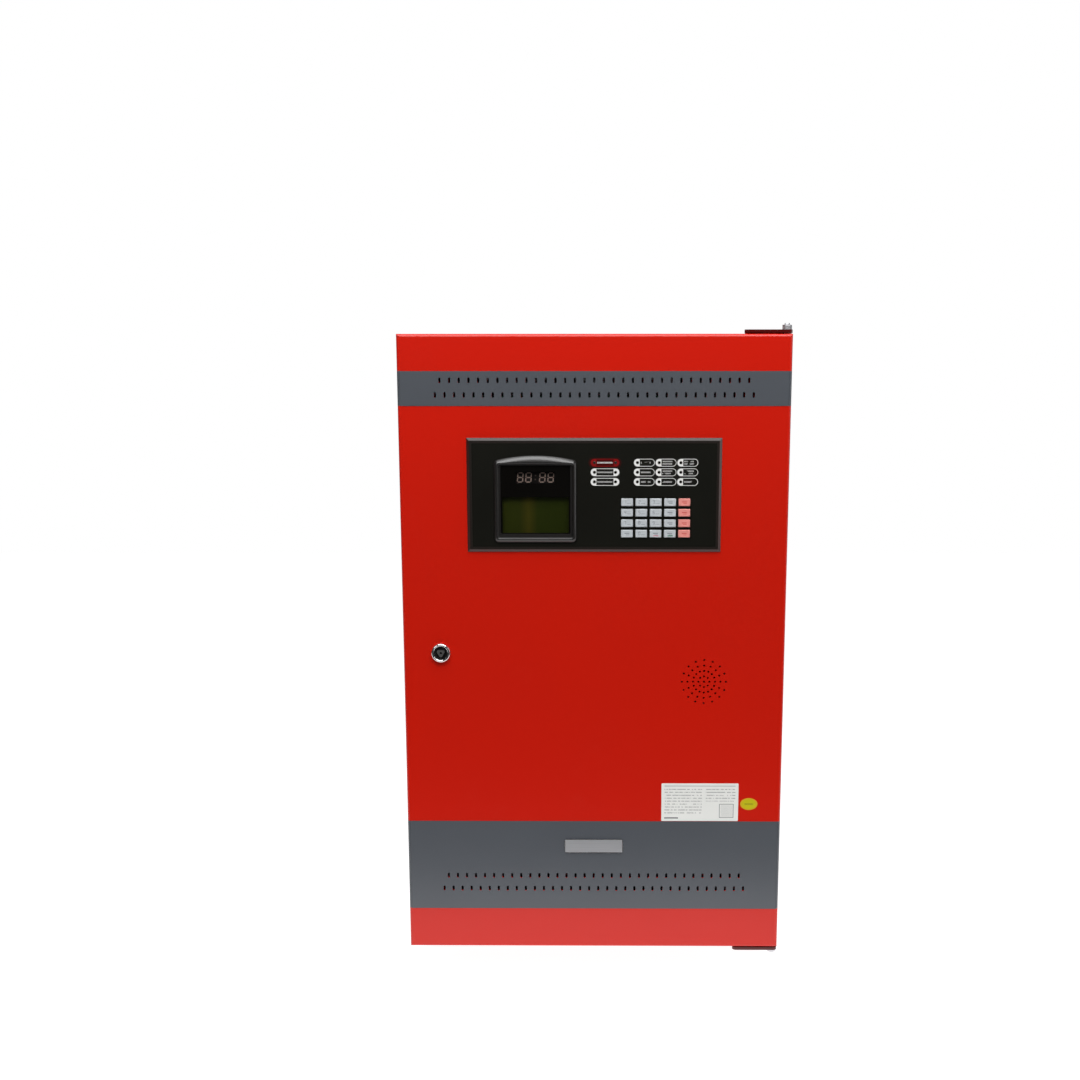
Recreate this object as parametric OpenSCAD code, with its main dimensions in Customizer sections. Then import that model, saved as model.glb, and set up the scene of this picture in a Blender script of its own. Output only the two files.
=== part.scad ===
// Wall-mounted fire alarm control panel: a folded steel box, a pivot-hinged door with a keypad and
// display fascia, a cam lock and a sounder, and the boards, power supply and batteries inside.
// Millimetres. +Z is up, the door faces -Y, and the origin is the middle of the back face.

/* [Cabinet] */
// Width of the box and of the door
cab_w = 380; // [370:1:480]
// Height of the door
door_h = 620; // [590:1:760]
// Depth of the back box
box_d = 110; // [105:1:160]
// Thickness of the sheet steel
sheet_t = 1.5; // [1.2:0.1:2]
// Outside radius of the folds
bend_r = 3; // [2.5:0.1:4]
// Width of the box's inward front flange
flange_w = 14; // [12:1:18]
// Radius of the wall-fixing holes
wall_hole_r = 3.5; // [2.5:0.1:5]
// Distance from the box's sides to the wall-fixing holes
wall_hole_inset_x = 22; // [20:1:24]
// Distance from the box's top and bottom to the wall-fixing holes
wall_hole_inset_z = 75; // [70:1:90]

/* [Door] */
// Depth of the door pan
pan_d = 22; // [20:1:26]
// Gap between the door pan and the box
door_gap = 2; // [1.8:0.1:3]
// Width of the door pan's rear lip
lip_w = 12; // [11:1:16]
// Distance from the door's top edge to the upper grey band
upper_band_from_top = 35; // [25:1:45]
// Height of the upper grey band
upper_band_h = 33; // [30:1:45]
// Distance from the door's bottom edge to the lower grey band
lower_band_from_bottom = 42; // [30:1:60]
// Height of the lower grey band
lower_band_h = 93.5; // [80:0.5:110]
// Number of vent slots in the upper row of each pair
vent_count = 33; // [20:1:36]
// Distance between vent slots
vent_pitch = 9.3; // [8:0.1:9.6]
// Width of a vent slot
vent_w = 2.2; // [1.5:0.1:3]
// Height of a vent slot
vent_h = 5.2; // [4:0.1:8]

/* [Hinge] */
// Width of each hinge plate
plate_w = 46; // [30:1:60]
// Thickness of each hinge plate
plate_t = 3; // [2:0.5:5]
// Gap between the door and each hinge plate
hinge_gap = 1; // [0.8:0.1:2]
// Radius of the hinge pins
pin_r = 2.5; // [2:0.1:3]
// Distance from the door's right side to the pin axis
pin_inset = 4.7; // [4.6:0.1:6]
// Distance from the door's front face to the pin axis
pin_back = 10; // [8:0.5:11]

/* [Fascia] */
// Width of the keypad and display fascia
fascia_w = 248; // [244:1:262]
// Height of the fascia
fascia_h = 110.5; // [108:0.5:135]
// How far the fascia stands proud of the door
fascia_proud = 3; // [2:0.5:5]
// Distance from the door's top edge to the fascia's top
fascia_from_top = 98.4; // [90:0.1:120]
// Width of the display bezel
bezel_w = 80.6; // [78:0.1:86]
// Height of the display bezel at its sides
bezel_side_h = 79.5; // [78:0.5:82]
// Rise of the bezel's arched top
bezel_arch = 4.8; // [3:0.1:8]
// How far the bezel's rim stands out from the fascia
bezel_rim_out = 3.6; // [2:0.1:6]
// Width of one keycap
key_w = 11.6; // [10:0.1:14]
// Height of one keycap
key_h = 7.5; // [6:0.1:9]
// How far a keycap stands out from the fascia
key_out = 1.8; // [1.2:0.1:3]
// Key travel
key_travel = 1; // [0.6:0.1:1.2]

/* [Lock and sounder] */
// Distance from the door's left side to the lock axis
lock_inset = 37.6; // [34:0.1:45]
// Radius of the lock's chrome bezel
lock_bezel_r = 9.5; // [9.4:0.1:12]
// Radius of the lock barrel
barrel_r = 8; // [7.8:0.1:8.6]
// Reach of the lock cam from its axis
cam_reach = 30; // [28:0.5:33]
// Distance from the door's right side to the sounder axis
sounder_inset = 80; // [70:1:100]
// Distance between the rings of sounder holes
sounder_ring_pitch = 5.5; // [5:0.1:6]
// Radius of one sounder hole
sounder_hole_r = 1.05; // [0.8:0.05:1.3]

/* [Inside] */
// Length of one battery
battery_l = 151; // [140:1:155]
// Thickness of one battery
battery_t = 65; // [55:1:75]
// Height of one battery's case
battery_h = 94; // [85:1:115]
// Width of the main board
board_w = 270; // [240:1:276]
// Height of the main board
board_h = 210; // [200:1:216]
// Width of the loop board
loop_w = 150; // [120:1:155]
// Height of the loop board
loop_h = 145; // [120:1:150]
// Thickness of the circuit boards
board_t = 1.6; // [1.2:0.1:2]
// Height of the pillars under the boards
pillar_h = 7; // [5:0.5:12]
// Width of the power supply
psu_w = 120; // [105:1:126]
// Height of the power supply
psu_h = 170; // [150:1:175]
// Depth of the power supply
psu_d = 45; // [35:1:55]
// Width of the cable-entry opening in the top
entry_w = 250; // [220:1:280]
// Depth of the cable-entry opening
entry_d = 44; // [36:1:50]
// Distance from the wall to the middle of the cable-entry opening
entry_y = 60; // [45:1:62]
// Inside radius of the cable grommets
grommet_bore_r = 8; // [6:0.5:9.6]
// Distance between the cable grommets
grommet_pitch = 80; // [40:1:90]

/* [Hidden] */
$fn = 48;

slip = 0.1;          // clearance between pieces that are seated but not pressed
running = 0.06;      // radial clearance of a turning fit
through = 1;         // how far a cutting shape runs past the face it cuts

// Box and door planes, front to back
box_h = door_h + 2 * hinge_gap;
box_front = -box_d;
door_back = box_front - door_gap;
door_front = door_back - pan_d;
door_inner = door_front + sheet_t;
box_floor = -box_h / 2 + sheet_t;
band_w = cab_w - 2 * bend_r;
film_t = 0.3;
gasket_edge = 3;
gasket_w = 8;
label_w = 78;
label_h = 39.6;
label_right = 43.3;  // from the door's right side
label_gap = 0.5;     // above the lower band
sticker_half_w = 8.8;
sticker_half_h = 6.2;
sticker_right = 32.5;
sticker_rise = 18.5; // above the lower band
badge_w = 60;
badge_h = 15;
badge_t = 1;
badge_rise = 67.5;   // above the lower band's bottom edge

// Vents: two staggered rows behind each band
vent_row_gap = 13.8;
upper_vents_z = door_h / 2 - upper_band_from_top - 15.6;
lower_vents_z = -door_h / 2 + lower_band_from_bottom + 28.6;

// Hinge
pin_x = cab_w / 2 - pin_inset;
pin_y = door_front + pin_back;
plate_front = door_front + 2;
plate_back = box_front + 38;
plate_corner_r = 4;
plate_taper = 8;      // each hinge plate is this much narrower at its back
nut_af = 2 * pin_r + 3;
nut_h = 4.7;
pin_end = 1.6;       // thread showing past the nut
pin_in = 8;          // how far a pin reaches into the door
head_r = pin_r + 2.1;
head_h = 4.6;
washer_r = pin_r + 2;

// Fascia
fascia_z = door_h / 2 - fascia_from_top - fascia_h / 2;
fascia_front = door_front - fascia_proud;
spigot_w = fascia_w - 6;
spigot_h = fascia_h - 6.5;
spigot_wall = 2.5;
spigot_d = 6;
cutout_slip = 0.4;
overlay_t = 0.4;
overlay_border = 5;
post_r = 3.5;
post_x = fascia_w / 2 - 15;
post_z = fascia_h / 2 - 11;
barb_l = 16;

// Display
bezel_x = -fascia_w / 2 + 66.9;
bezel_bottom = fascia_z - fascia_h / 2 + 9.3;
bezel_base_t = 1.2;
bezel_rim_w = 3;
bezel_corner_r = 4.5;
window_w = bezel_w - 12.6;
bezel_foot_h = 8.6;   // bezel below its window
brow_side_h = 4.9;    // bezel above its window, at the sides
brow_ledge = 1.4;     // from the window's top to the brow's lower edge
window_h = bezel_side_h - bezel_foot_h - brow_side_h;
window_z = bezel_bottom + bezel_foot_h + window_h / 2;
window_t = 1.5;
window_lap = 1.5;
display_front = door_front + 0.5;
door_board_front = door_front + 12.4;
lcd_glass_w = window_w - 3;
lcd_glass_h = 35;
lcd_w = window_w + 4;
lcd_h = lcd_glass_h + 7;
lcd_z = window_z - window_h / 2 + lcd_glass_h / 2 + 0.5;
clock_w = 42;
clock_h = 15;
clock_z = window_z + window_h / 2 - 11.5;

// Indicators: two-lamp legends on the left, a three by three block of one-lamp legends on the right
legend_pitch_z = 9.25;
legend_top_z = fascia_z + 31.6;
lamp_r = 1.3;
pair_x = [0.3, 20.8];
single_x = [41.9, 63, 84];

// Keys
key_cols = 5;
key_rows = 4;
key_pitch_x = key_w + 2.35;
key_pitch_z = key_h + 2.7;
key_left_x = 32.1;
key_top_z = fascia_z - 6.6;
key_slip = 0.3;
key_flange = 0.75;
key_flange_t = 1;
key_stem_w = 6;
key_stem_h = 4;
membrane_t = 1.4;
key_stem_back = door_board_front - membrane_t - key_travel - 0.2;

// Lock
lock_x = -cab_w / 2 + lock_inset;
lock_out = 4;
lock_well_r = 6.9;
lock_well_d = 3;
core_r = 5.4;
cam_t = 2;
cam_front = box_front + sheet_t + 1;
barrel_back = cam_front - 0.5;
cam_square = 7;
cam_round_r = 8;
lock_nut_af = 21;
lock_nut_t = 4;

// Sounder
sounder_x = cab_w / 2 - sounder_inset;
sounder_z = -29.3;
sounder_rings = [8, 16, 16, 16];
sounder_r = len(sounder_rings) * sounder_ring_pitch + 4;
sounder_rim_t = 1.5;
sounder_rim_w = 3.2;
magnet_r = 14;
magnet_back = 18;    // behind the door sheet
clamp_r = sounder_r + 6;
clamp_t = 1.2;
clamp_lap = 3;
clamp_w = 8;
clamp_stud_r = 2;

// Inside the box: the chassis plate carries both boards and the power supply above the batteries
chassis_side = 40;
chassis_gap = 8.5;
chassis_t = 1.5;
chassis_w = cab_w - 2 * chassis_side;
chassis_top = box_h / 2 - 28;
chassis_bottom = box_floor + battery_h + 16;
chassis_z = (chassis_top + chassis_bottom) / 2;
chassis_h = chassis_top - chassis_bottom;
chassis_front = -(sheet_t + chassis_gap + chassis_t);
chassis_screw_x = chassis_w / 2 - 12;
chassis_screw_z = chassis_h / 2 - 12;
chassis_screw_r = 2.5;
board_margin = 6;
board_gap = 20;
board_back = chassis_front - pillar_h;
board_front = board_back - board_t;
board_x = 5;
board_z = chassis_top - 30 - board_h / 2;
lower_row_top = board_z - board_h / 2 - board_gap;
psu_x = -chassis_w / 2 + psu_w / 2;
psu_z = lower_row_top - psu_h / 2;
psu_front = chassis_front - psu_d;
psu_wall = 1.2;
loop_x = psu_x + psu_w / 2 + 16 + loop_w / 2;
loop_z = lower_row_top - loop_h / 2;
battery_gap = 6;
battery_x = (battery_l + battery_gap) / 2;
battery_back = -8;
strap_t = 1.5;
strap_h = 24;
strap_z = box_floor + 29;
strap_foot = 16;
strap_reach = battery_l + battery_gap / 2 + 1.5;
entry_lap = 11;
entry_screw_x = entry_w / 2 + entry_lap / 2;
entry_screw_y = entry_d / 2 - 6;
entry_screw_r = 1.5;
gland_top = box_h / 2 - sheet_t;
grommet_hole_r = grommet_bore_r + 3;
grommet_lip = 1.4;

// Rocker switch and fuse holder on the power supply's front
rocker_w = 13;
rocker_h = 19;
rocker_x = psu_x - psu_w / 2 + 26;
rocker_z = psu_z + psu_h / 2 - 22;
rocker_y = psu_front + 3;
rocker_tilt = 10;
rocker_side = 0.4;
tub_wall = 1.6;
tub_lip = 2.5;
tub_d = 13;
axle_r = 1.2;
fuse_x = psu_x + psu_w / 2 - 30;
fuse_r = 6.5;

// Terminal blocks, and the sockets that link the two boards
block_ways = 8;
way_pitch = 5.08;
block_l = block_ways * way_pitch;
block_d = 14;
block_gap = 1;
block_inset = 18;
socket_w = 9;
socket_h = 38;
socket_d = 13;
main_socket_x = board_x + board_w / 2 - 17;
door_socket_x = fascia_w / 2 - 25;

red = [0.72, 0.09, 0.05];
grey = [0.33, 0.34, 0.36];
black = [0.08, 0.08, 0.08];

// ---------- shared shapes ----------

// Corners of a rectangle about a centre
function corners(x, z, half_x, half_z) =
    [for (i = [-1, 1], k = [-1, 1]) [x + i * half_x, z + k * half_z]];

// Points of an arc, from angle a0 to a1 in n steps
function arc(x, y, r, a0, a1, n) =
    [for (i = [0:n]) [x + r * cos(a0 + (a1 - a0) * i / n), y + r * sin(a0 + (a1 - a0) * i / n)]];

// Rectangle centred on the origin, with round corners
module rounded_rect(w, h, r) {
    square([w - 2 * r, h], center = true);
    square([w, h - 2 * r], center = true);
    for (x = [-1, 1], y = [-1, 1]) translate([x * (w / 2 - r), y * (h / 2 - r)]) circle(r);
}

// Solid outline of folded sheet, front face at y = 0, with every fold rounded and mitred corners
module fold_block(w, h, d, r) {
    translate([0, d / 2, 0]) intersection() {
        linear_extrude(h, center = true) rounded_rect(w, d, r);
        rotate([90, 0, 90]) linear_extrude(w, center = true) rounded_rect(d, h, r);
    }
}

// Hollow case of folded sheet, closed on all sides
module fold_case(w, h, d) {
    difference() {
        fold_block(w, h, d, bend_r);
        translate([0, sheet_t, 0])
            fold_block(w - 2 * sheet_t, h - 2 * sheet_t, d - 2 * sheet_t, bend_r - sheet_t);
    }
}

// Front-view drawing (x across, y up) given thickness t, its front at depth y
module slab(y, t) {
    translate([0, y + t, 0]) rotate([90, 0, 0]) linear_extrude(t) children();
}

// Round bar along Y, its front at depth y
module bar(x, z, y, l, r) {
    translate([x, y + l, z]) rotate([90, 0, 0]) cylinder(h = l, r = r);
}

// Shape turned about the Y axis at x, z; profile points are [radius, depth]
module turned(x, z, points) {
    translate([x, 0, z]) rotate([-90, 0, 0]) rotate_extrude() polygon(points);
}

// Box from its middle in x and z and its front depth
module block(x, z, w, h, y, d) {
    translate([x - w / 2, y, z - h / 2]) cube([w, d, h]);
}

// Plate with its front edges bevelled at 45 degrees, front at y = 0
module bevelled_plate(w, h, t, bevel) {
    intersection() {
        linear_extrude(h, center = true)
            polygon([[-w / 2 + bevel, 0], [w / 2 - bevel, 0], [w / 2, bevel], [w / 2, t], [-w / 2, t],
                     [-w / 2, bevel]]);
        rotate([90, 0, 90]) linear_extrude(w, center = true)
            polygon([[0, -h / 2 + bevel], [bevel, -h / 2], [t, -h / 2], [t, h / 2], [bevel, h / 2],
                     [0, h / 2 - bevel]]);
    }
}

// One vent slot with round ends
module vent_slot() {
    reach = (vent_h - vent_w) / 2;
    square([vent_w, 2 * reach], center = true);
    for (side = [-1, 1]) translate([0, side * reach]) circle(vent_w / 2);
}

// Two staggered rows of slots about height z; the lower row has one slot more
module vent_rows(z) {
    for (row = [0, 1]) {
        count = vent_count + row;
        for (i = [0:count - 1])
            translate([(i - (count - 1) / 2) * vent_pitch, z + (0.5 - row) * vent_row_gap]) vent_slot();
    }
}

function key_x(col) = key_left_x + (col - 1) * key_pitch_x;
function key_z(row) = key_top_z - (row - 1) * key_pitch_z;

// Lamp positions: two for each legend on the left, one for each of the nine on the right
lamp_points = concat(
    [for (row = [0:2], x = pair_x) [x, legend_top_z - row * legend_pitch_z]],
    [for (row = [0:2], x = single_x) [x, legend_top_z - row * legend_pitch_z]]);

// ---------- cabinet ----------

entry_screws = [for (i = [-1, 1], k = [-1, 1]) [i * entry_screw_x, -entry_y + k * entry_screw_y]];

module cabinet_box() {
    color(red) difference() {
        translate([0, box_front, 0]) fold_case(cab_w, box_h, box_d);
        slab(box_front - through, sheet_t + 2 * through)
            square([cab_w - 2 * flange_w, box_h - 2 * flange_w], center = true);
        for (x = [-1, 1], z = [-1, 1])
            bar(x * (cab_w / 2 - wall_hole_inset_x), z * (box_h / 2 - wall_hole_inset_z),
                -sheet_t - through, sheet_t + 2 * through, wall_hole_r);
        translate([0, -entry_y, gland_top - through]) linear_extrude(sheet_t + 2 * through)
            rounded_rect(entry_w, entry_d, 5);
        for (p = entry_screws) translate([p[0], p[1], gland_top - through])
            cylinder(h = sheet_t + 2 * through, r = entry_screw_r + slip);
    }
}

module hinge_plate() {
    depth = plate_back - plate_front;
    right = cab_w / 2;
    r = plate_corner_r;
    translate([0, 0, box_h / 2]) difference() {
        linear_extrude(plate_t) polygon(concat(
            [[right, plate_back], [right - plate_w + plate_taper, plate_back]],
            arc(right - plate_w + r, plate_front + r, r, 180, 270, 6),
            arc(right - r, plate_front + r, r, 270, 360, 6)));
        translate([pin_x, pin_y, -through]) cylinder(h = plate_t + 2 * through, r = pin_r + slip / 2);
    }
}

module hinge_plates() {
    color(red * 0.8) {
        hinge_plate();
        mirror([0, 0, 1]) hinge_plate();
    }
}

module hinge_washer() {
    translate([pin_x, pin_y, door_h / 2 + slip / 2]) difference() {
        cylinder(h = hinge_gap - slip, r = washer_r);
        translate([0, 0, -through]) cylinder(h = hinge_gap + 2 * through, r = pin_r + running);
    }
}

module hinge_pins() {
    plate_top = box_h / 2 + plate_t;
    color("silver") {
        translate([pin_x, pin_y, door_h / 2 - pin_in])
            cylinder(h = plate_top + nut_h + pin_end - (door_h / 2 - pin_in), r = pin_r);
        translate([pin_x, pin_y, plate_top]) difference() {
            cylinder(h = nut_h, r = nut_af / 2 / cos(30), $fn = 6);
            translate([0, 0, -through]) cylinder(h = nut_h + 2 * through, r = pin_r + slip / 4);
        }
        translate([pin_x, pin_y, 0]) rotate([180, 0, 0]) rotate_extrude()
            polygon(concat([[0, door_h / 2 - pin_in], [pin_r, door_h / 2 - pin_in],
                            [pin_r, plate_top], [head_r, plate_top], [head_r, plate_top + 1]],
                           arc(head_r - 2, plate_top + head_h - 2, 2, 0, 90, 6),
                           [[0, plate_top + head_h]]));
    }
    color("white") {
        hinge_washer();
        mirror([0, 0, 1]) hinge_washer();
    }
}

chassis_screws = corners(0, chassis_z, chassis_screw_x, chassis_screw_z);
board_screws = concat(
    corners(board_x, board_z, board_w / 2 - board_margin, board_h / 2 - board_margin),
    [for (k = [-1, 1]) [board_x, board_z + k * (board_h / 2 - board_margin)]],
    corners(loop_x, loop_z, loop_w / 2 - board_margin, loop_h / 2 - board_margin));
strap_screw_x = strap_reach + strap_t + strap_foot / 2;

module chassis_plate() {
    color("gainsboro") {
        difference() {
            slab(chassis_front, chassis_t) translate([0, chassis_z])
                rounded_rect(chassis_w, chassis_h, 6);
            for (p = chassis_screws)
                bar(p[0], p[1], chassis_front - through, chassis_t + 2 * through,
                    chassis_screw_r + slip);
        }
        for (p = chassis_screws) difference() {
            bar(p[0], p[1], chassis_front + chassis_t, chassis_gap, 5);
            bar(p[0], p[1], chassis_front, chassis_gap + 2 * through, chassis_screw_r + slip);
        }
    }
}

module board_pillars() {
    color("goldenrod") for (p = board_screws) difference() {
        bar(p[0], p[1], board_back, pillar_h, 3);
        bar(p[0], p[1], board_back - through, pillar_h, 1.6);
    }
}

// Pan-head screw whose head sits at depth y
module pan_screw(p, y, shank_r, l) {
    head = shank_r * 1.9;
    rise = shank_r * 1.2;
    turned(p[0], p[1], concat(
        [[0, y - rise]], arc(head - rise * 0.6, y - rise * 0.4, rise * 0.6, 270, 360, 4),
        [[head, y], [shank_r, y], [shank_r, y + l], [0, y + l]]));
}

module inside_screws() {
    color("silver") {
        for (p = board_screws) pan_screw(p, board_front, 1.5, board_t + 5);
        for (p = chassis_screws)
            pan_screw(p, chassis_front, chassis_screw_r, chassis_t + chassis_gap);
        for (x = [-1, 1])
            pan_screw([x * strap_screw_x, strap_z], -sheet_t - strap_t, 2, strap_t);
        for (p = entry_screws) translate([p[0], p[1], gland_top - sheet_t])
            rotate([90, 0, 0]) pan_screw([0, 0], 0, entry_screw_r, 2 * sheet_t);
    }
}

// Circuit board with a hole at each of its screws
module drilled_board(x, z, w, h) {
    color("darkgreen") difference() {
        slab(board_front, board_t) translate([x, z]) rounded_rect(w, h, 3);
        for (p = board_screws) bar(p[0], p[1], board_front - through, board_t + 2 * through, 1.7);
    }
}

module main_board() drilled_board(board_x, board_z, board_w, board_h);
module loop_board() drilled_board(loop_x, loop_z, loop_w, loop_h);

// Component standing on a board
module chip(x, z, w, h, d) {
    block(x, z, w, h, board_front - d, d);
}

module capacitor(x, z, r, l) {
    top = board_front - l;
    turned(x, z, [[0, top], [r - 0.8, top], [r, top + 0.8], [r, board_front], [0, board_front]]);
}

// Row of count copies along x
module row_of(count, pitch) {
    for (i = [0:count - 1]) translate([(i - (count - 1) / 2) * pitch, 0, 0]) children();
}

module main_board_parts() {
    color("dimgray") {
        chip(-18, 12, 28, 28, 2.6);
        translate([36, 0, 0]) row_of(3, 17) chip(0, 18, 10, 22, 3.2);
        for (i = [0:3]) chip(-60, 40 - i * 18, 20, 10, 2.6);
        chip(-18, 48, 40, 12, 4);
    }
    color("steelblue") translate([-40, 0, 0]) row_of(6, 24) chip(0, -62, 19, 15.5, 15.5);
    color("navy") {
        translate([82, 0, 0]) row_of(4, 15) capacitor(0, -62, 5.5, 20);
        for (i = [0:1]) capacitor(-105, 30 - i * 18, 6.5, 14);
    }
    color("silver") {
        chip(-18, -18, 11, 4.6, 3.6);
        turned(55, -18, [[0, board_front - 4], [10, board_front - 4], [10, board_front],
                         [0, board_front]]);
    }
    color("ivory") for (i = [0:2]) chip(-105, 62 - i * 11, 20, 7, 9);
    color("firebrick") chip(18, -18, 23, 10, 6);
}

module loop_board_parts() {
    color("dimgray") {
        chip(20, 28, 24, 24, 2.6);
        translate([-32, 0, 0]) row_of(3, 15) chip(0, 46, 8, 16, 3.2);
    }
    color("khaki") for (i = [0:1]) chip(-38, 12 - i * 34, 30, 26, 22);
    color("navy") translate([30, 0, 0]) row_of(3, 16) capacitor(0, -20, 6.5, 22);
    color("black") chip(55, 40, 10, 30, 12);
}

module board_parts() {
    translate([board_x, 0, board_z]) main_board_parts();
    translate([loop_x, 0, loop_z]) loop_board_parts();
    color("black") block(main_socket_x, board_z, socket_w, socket_h, board_front - socket_d, socket_d);
}

// Screw terminal block; its wires enter from above (up = 1) or from below (up = -1)
module terminal_block(x, z, up) {
    front = board_front - block_d;
    color("seagreen") difference() {
        translate([x - block_l / 2, 0, z]) mirror([0, 0, up > 0 ? 0 : 1]) rotate([90, 0, 90])
            linear_extrude(block_l)
                polygon([[board_front, -5.5], [front + 2, -5.5], [front, -2], [front, 2],
                         [front + 4, 5.5], [board_front, 5.5]]);
        for (i = [0:block_ways - 1]) {
            way_x = x - block_l / 2 + (i + 0.5) * way_pitch;
            bar(way_x, z, front - through, 3 + through, 1.7);
            block(way_x, z + up * 4.5, 3.6, 2 + 2 * through, board_front - 7.5, 4);
        }
    }
}

module terminal_blocks() {
    for (up = [-1, 1]) translate([board_x, 0, 0]) row_of(6, block_l + block_gap)
        terminal_block(0, board_z + up * (board_h / 2 - block_inset), up);
    translate([loop_x, 0, 0]) row_of(3, block_l + block_gap)
        terminal_block(0, loop_z - loop_h / 2 + block_inset, -1);
}

module power_supply() {
    inner = psu_front + psu_wall;
    tub_w = rocker_w + 2 * rocker_side;
    tub_h = rocker_h + 2;
    color("lightgray") difference() {
        block(psu_x, psu_z, psu_w, psu_h, psu_front, psu_d);
        block(psu_x, psu_z, psu_w - 2 * psu_wall, psu_h - 2 * psu_wall, inner, psu_d - 2 * psu_wall);
        for (x = [-25, 25], i = [0:9])
            block(psu_x + x, psu_z - 50 + i * 10.5, 38, 4, psu_front - through, psu_wall + 2 * through);
        block(rocker_x, rocker_z, tub_w + 2 * tub_wall + slip, tub_h + 2 * tub_wall + slip,
              psu_front - through, psu_wall + 2 * through);
        bar(fuse_x, rocker_z, psu_front - through, psu_wall + 2 * through, fuse_r - 1.5 + slip);
    }
    color("black") {
        difference() {
            union() {
                block(rocker_x, rocker_z, tub_w + 2 * (tub_wall + tub_lip),
                      tub_h + 2 * (tub_wall + tub_lip), psu_front - 2, 2);
                block(rocker_x, rocker_z, tub_w + 2 * tub_wall, tub_h + 2 * tub_wall,
                      psu_front - 2, tub_d + 2);
            }
            block(rocker_x, rocker_z, tub_w, tub_h, psu_front - 2 - through, tub_d + through);
            translate([rocker_x, rocker_y, rocker_z]) rotate([0, 90, 0])
                cylinder(h = tub_w + 2 * tub_wall + 2 * through, r = axle_r + running, center = true);
        }
        turned(fuse_x, rocker_z, [[0, psu_front - 9], [fuse_r - 1.5, psu_front - 9],
                                  [fuse_r, psu_front - 3], [fuse_r, psu_front],
                                  [fuse_r - 1.5, psu_front], [fuse_r - 1.5, psu_front + 20],
                                  [0, psu_front + 20]]);
        block(psu_x, psu_z - psu_h / 2 + 14, 76, 13, psu_front - 12, 12);
    }
}

// Rocker on its own short axle; its upper end stands out and its lower end is pressed in
module mains_rocker() {
    tip = rocker_h / 2 - 1.2;
    color("darkred") translate([rocker_x, rocker_y, rocker_z]) rotate([rocker_tilt, 0, 0]) {
        rotate([90, 0, 90]) linear_extrude(rocker_w, center = true)
            polygon([[4, -3], [-4.6, -tip], [-6.2, -tip], [-4.6, 0], [-6.2, tip], [-4.6, tip], [4, 3]]);
        rotate([0, 90, 0])
            cylinder(h = rocker_w + 2 * rocker_side + 2 * tub_wall, r = axle_r, center = true);
    }
}

// Sealed lead-acid battery: a case, a stepped lid and two tab terminals
module battery(x) {
    lid_h = 8;
    lid_in = 2.5;
    front = battery_back - battery_t;
    color("dimgray") {
        block(x, box_floor + (battery_h - lid_h) / 2, battery_l, battery_h - lid_h, front, battery_t);
        block(x, box_floor + battery_h - lid_h / 2, battery_l - 2 * lid_in, lid_h, front + lid_in,
              battery_t - 2 * lid_in);
    }
    color("silver") for (side = [-1, 1])
        block(x + side * (battery_l / 2 - 14), box_floor + battery_h + 4, 6.3, 8, front + 12, 0.8);
}

module battery_left() battery(-battery_x);
module battery_right() battery(battery_x);

// Bent steel strap screwed to the back wall at both ends
module battery_strap() {
    back = -sheet_t;
    inner = battery_back - battery_t - 0.5;
    outer = inner - strap_t;
    side = strap_reach + strap_t;
    foot = side + strap_foot;
    color("lightgray") difference() {
        translate([0, 0, strap_z - strap_h / 2]) linear_extrude(strap_h) polygon([
            [-foot, back], [-foot, back - strap_t], [-side, back - strap_t], [-side, outer],
            [side, outer], [side, back - strap_t], [foot, back - strap_t], [foot, back],
            [strap_reach, back], [strap_reach, inner], [-strap_reach, inner], [-strap_reach, back]]);
        for (x = [-1, 1])
            bar(x * strap_screw_x, strap_z, back - strap_t - through, strap_t + 2 * through, 2 + slip);
    }
}

// Plate under the opening in the top, with a row of grommeted holes for the cables
module gland_plate() {
    color("gainsboro") difference() {
        translate([0, -entry_y, gland_top - sheet_t]) linear_extrude(sheet_t)
            rounded_rect(entry_w + 2 * entry_lap, entry_d + 2 * entry_lap, 3);
        for (i = [-1, 0, 1])
            translate([i * grommet_pitch, -entry_y, gland_top - sheet_t - through])
                cylinder(h = sheet_t + 2 * through, r = grommet_hole_r);
        for (p = entry_screws) translate([p[0], p[1], gland_top - sheet_t - through])
            cylinder(h = sheet_t + 2 * through, r = entry_screw_r + slip);
    }
}

module cable_grommets() {
    half = sheet_t / 2 + slip / 2;
    top = half + grommet_lip - slip / 2;
    neck = grommet_hole_r - slip;
    flange = grommet_hole_r + 2.5;
    color("black") for (i = [-1, 0, 1])
        translate([i * grommet_pitch, -entry_y, gland_top - sheet_t / 2]) rotate_extrude() polygon([
            [grommet_bore_r, -top], [flange - 0.8, -top], [flange, -top + 0.8], [flange, -half],
            [neck, -half], [neck, half], [flange, half], [flange, top - 0.8], [flange - 0.8, top],
            [grommet_bore_r, top]]);
}

// ---------- door ----------

module sounder_holes() {
    circle(sounder_hole_r);
    for (ring = [0:len(sounder_rings) - 1], i = [0:sounder_rings[ring] - 1])
        rotate(i * 360 / sounder_rings[ring]) translate([(ring + 1) * sounder_ring_pitch, 0])
            circle(sounder_hole_r);
}

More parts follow.
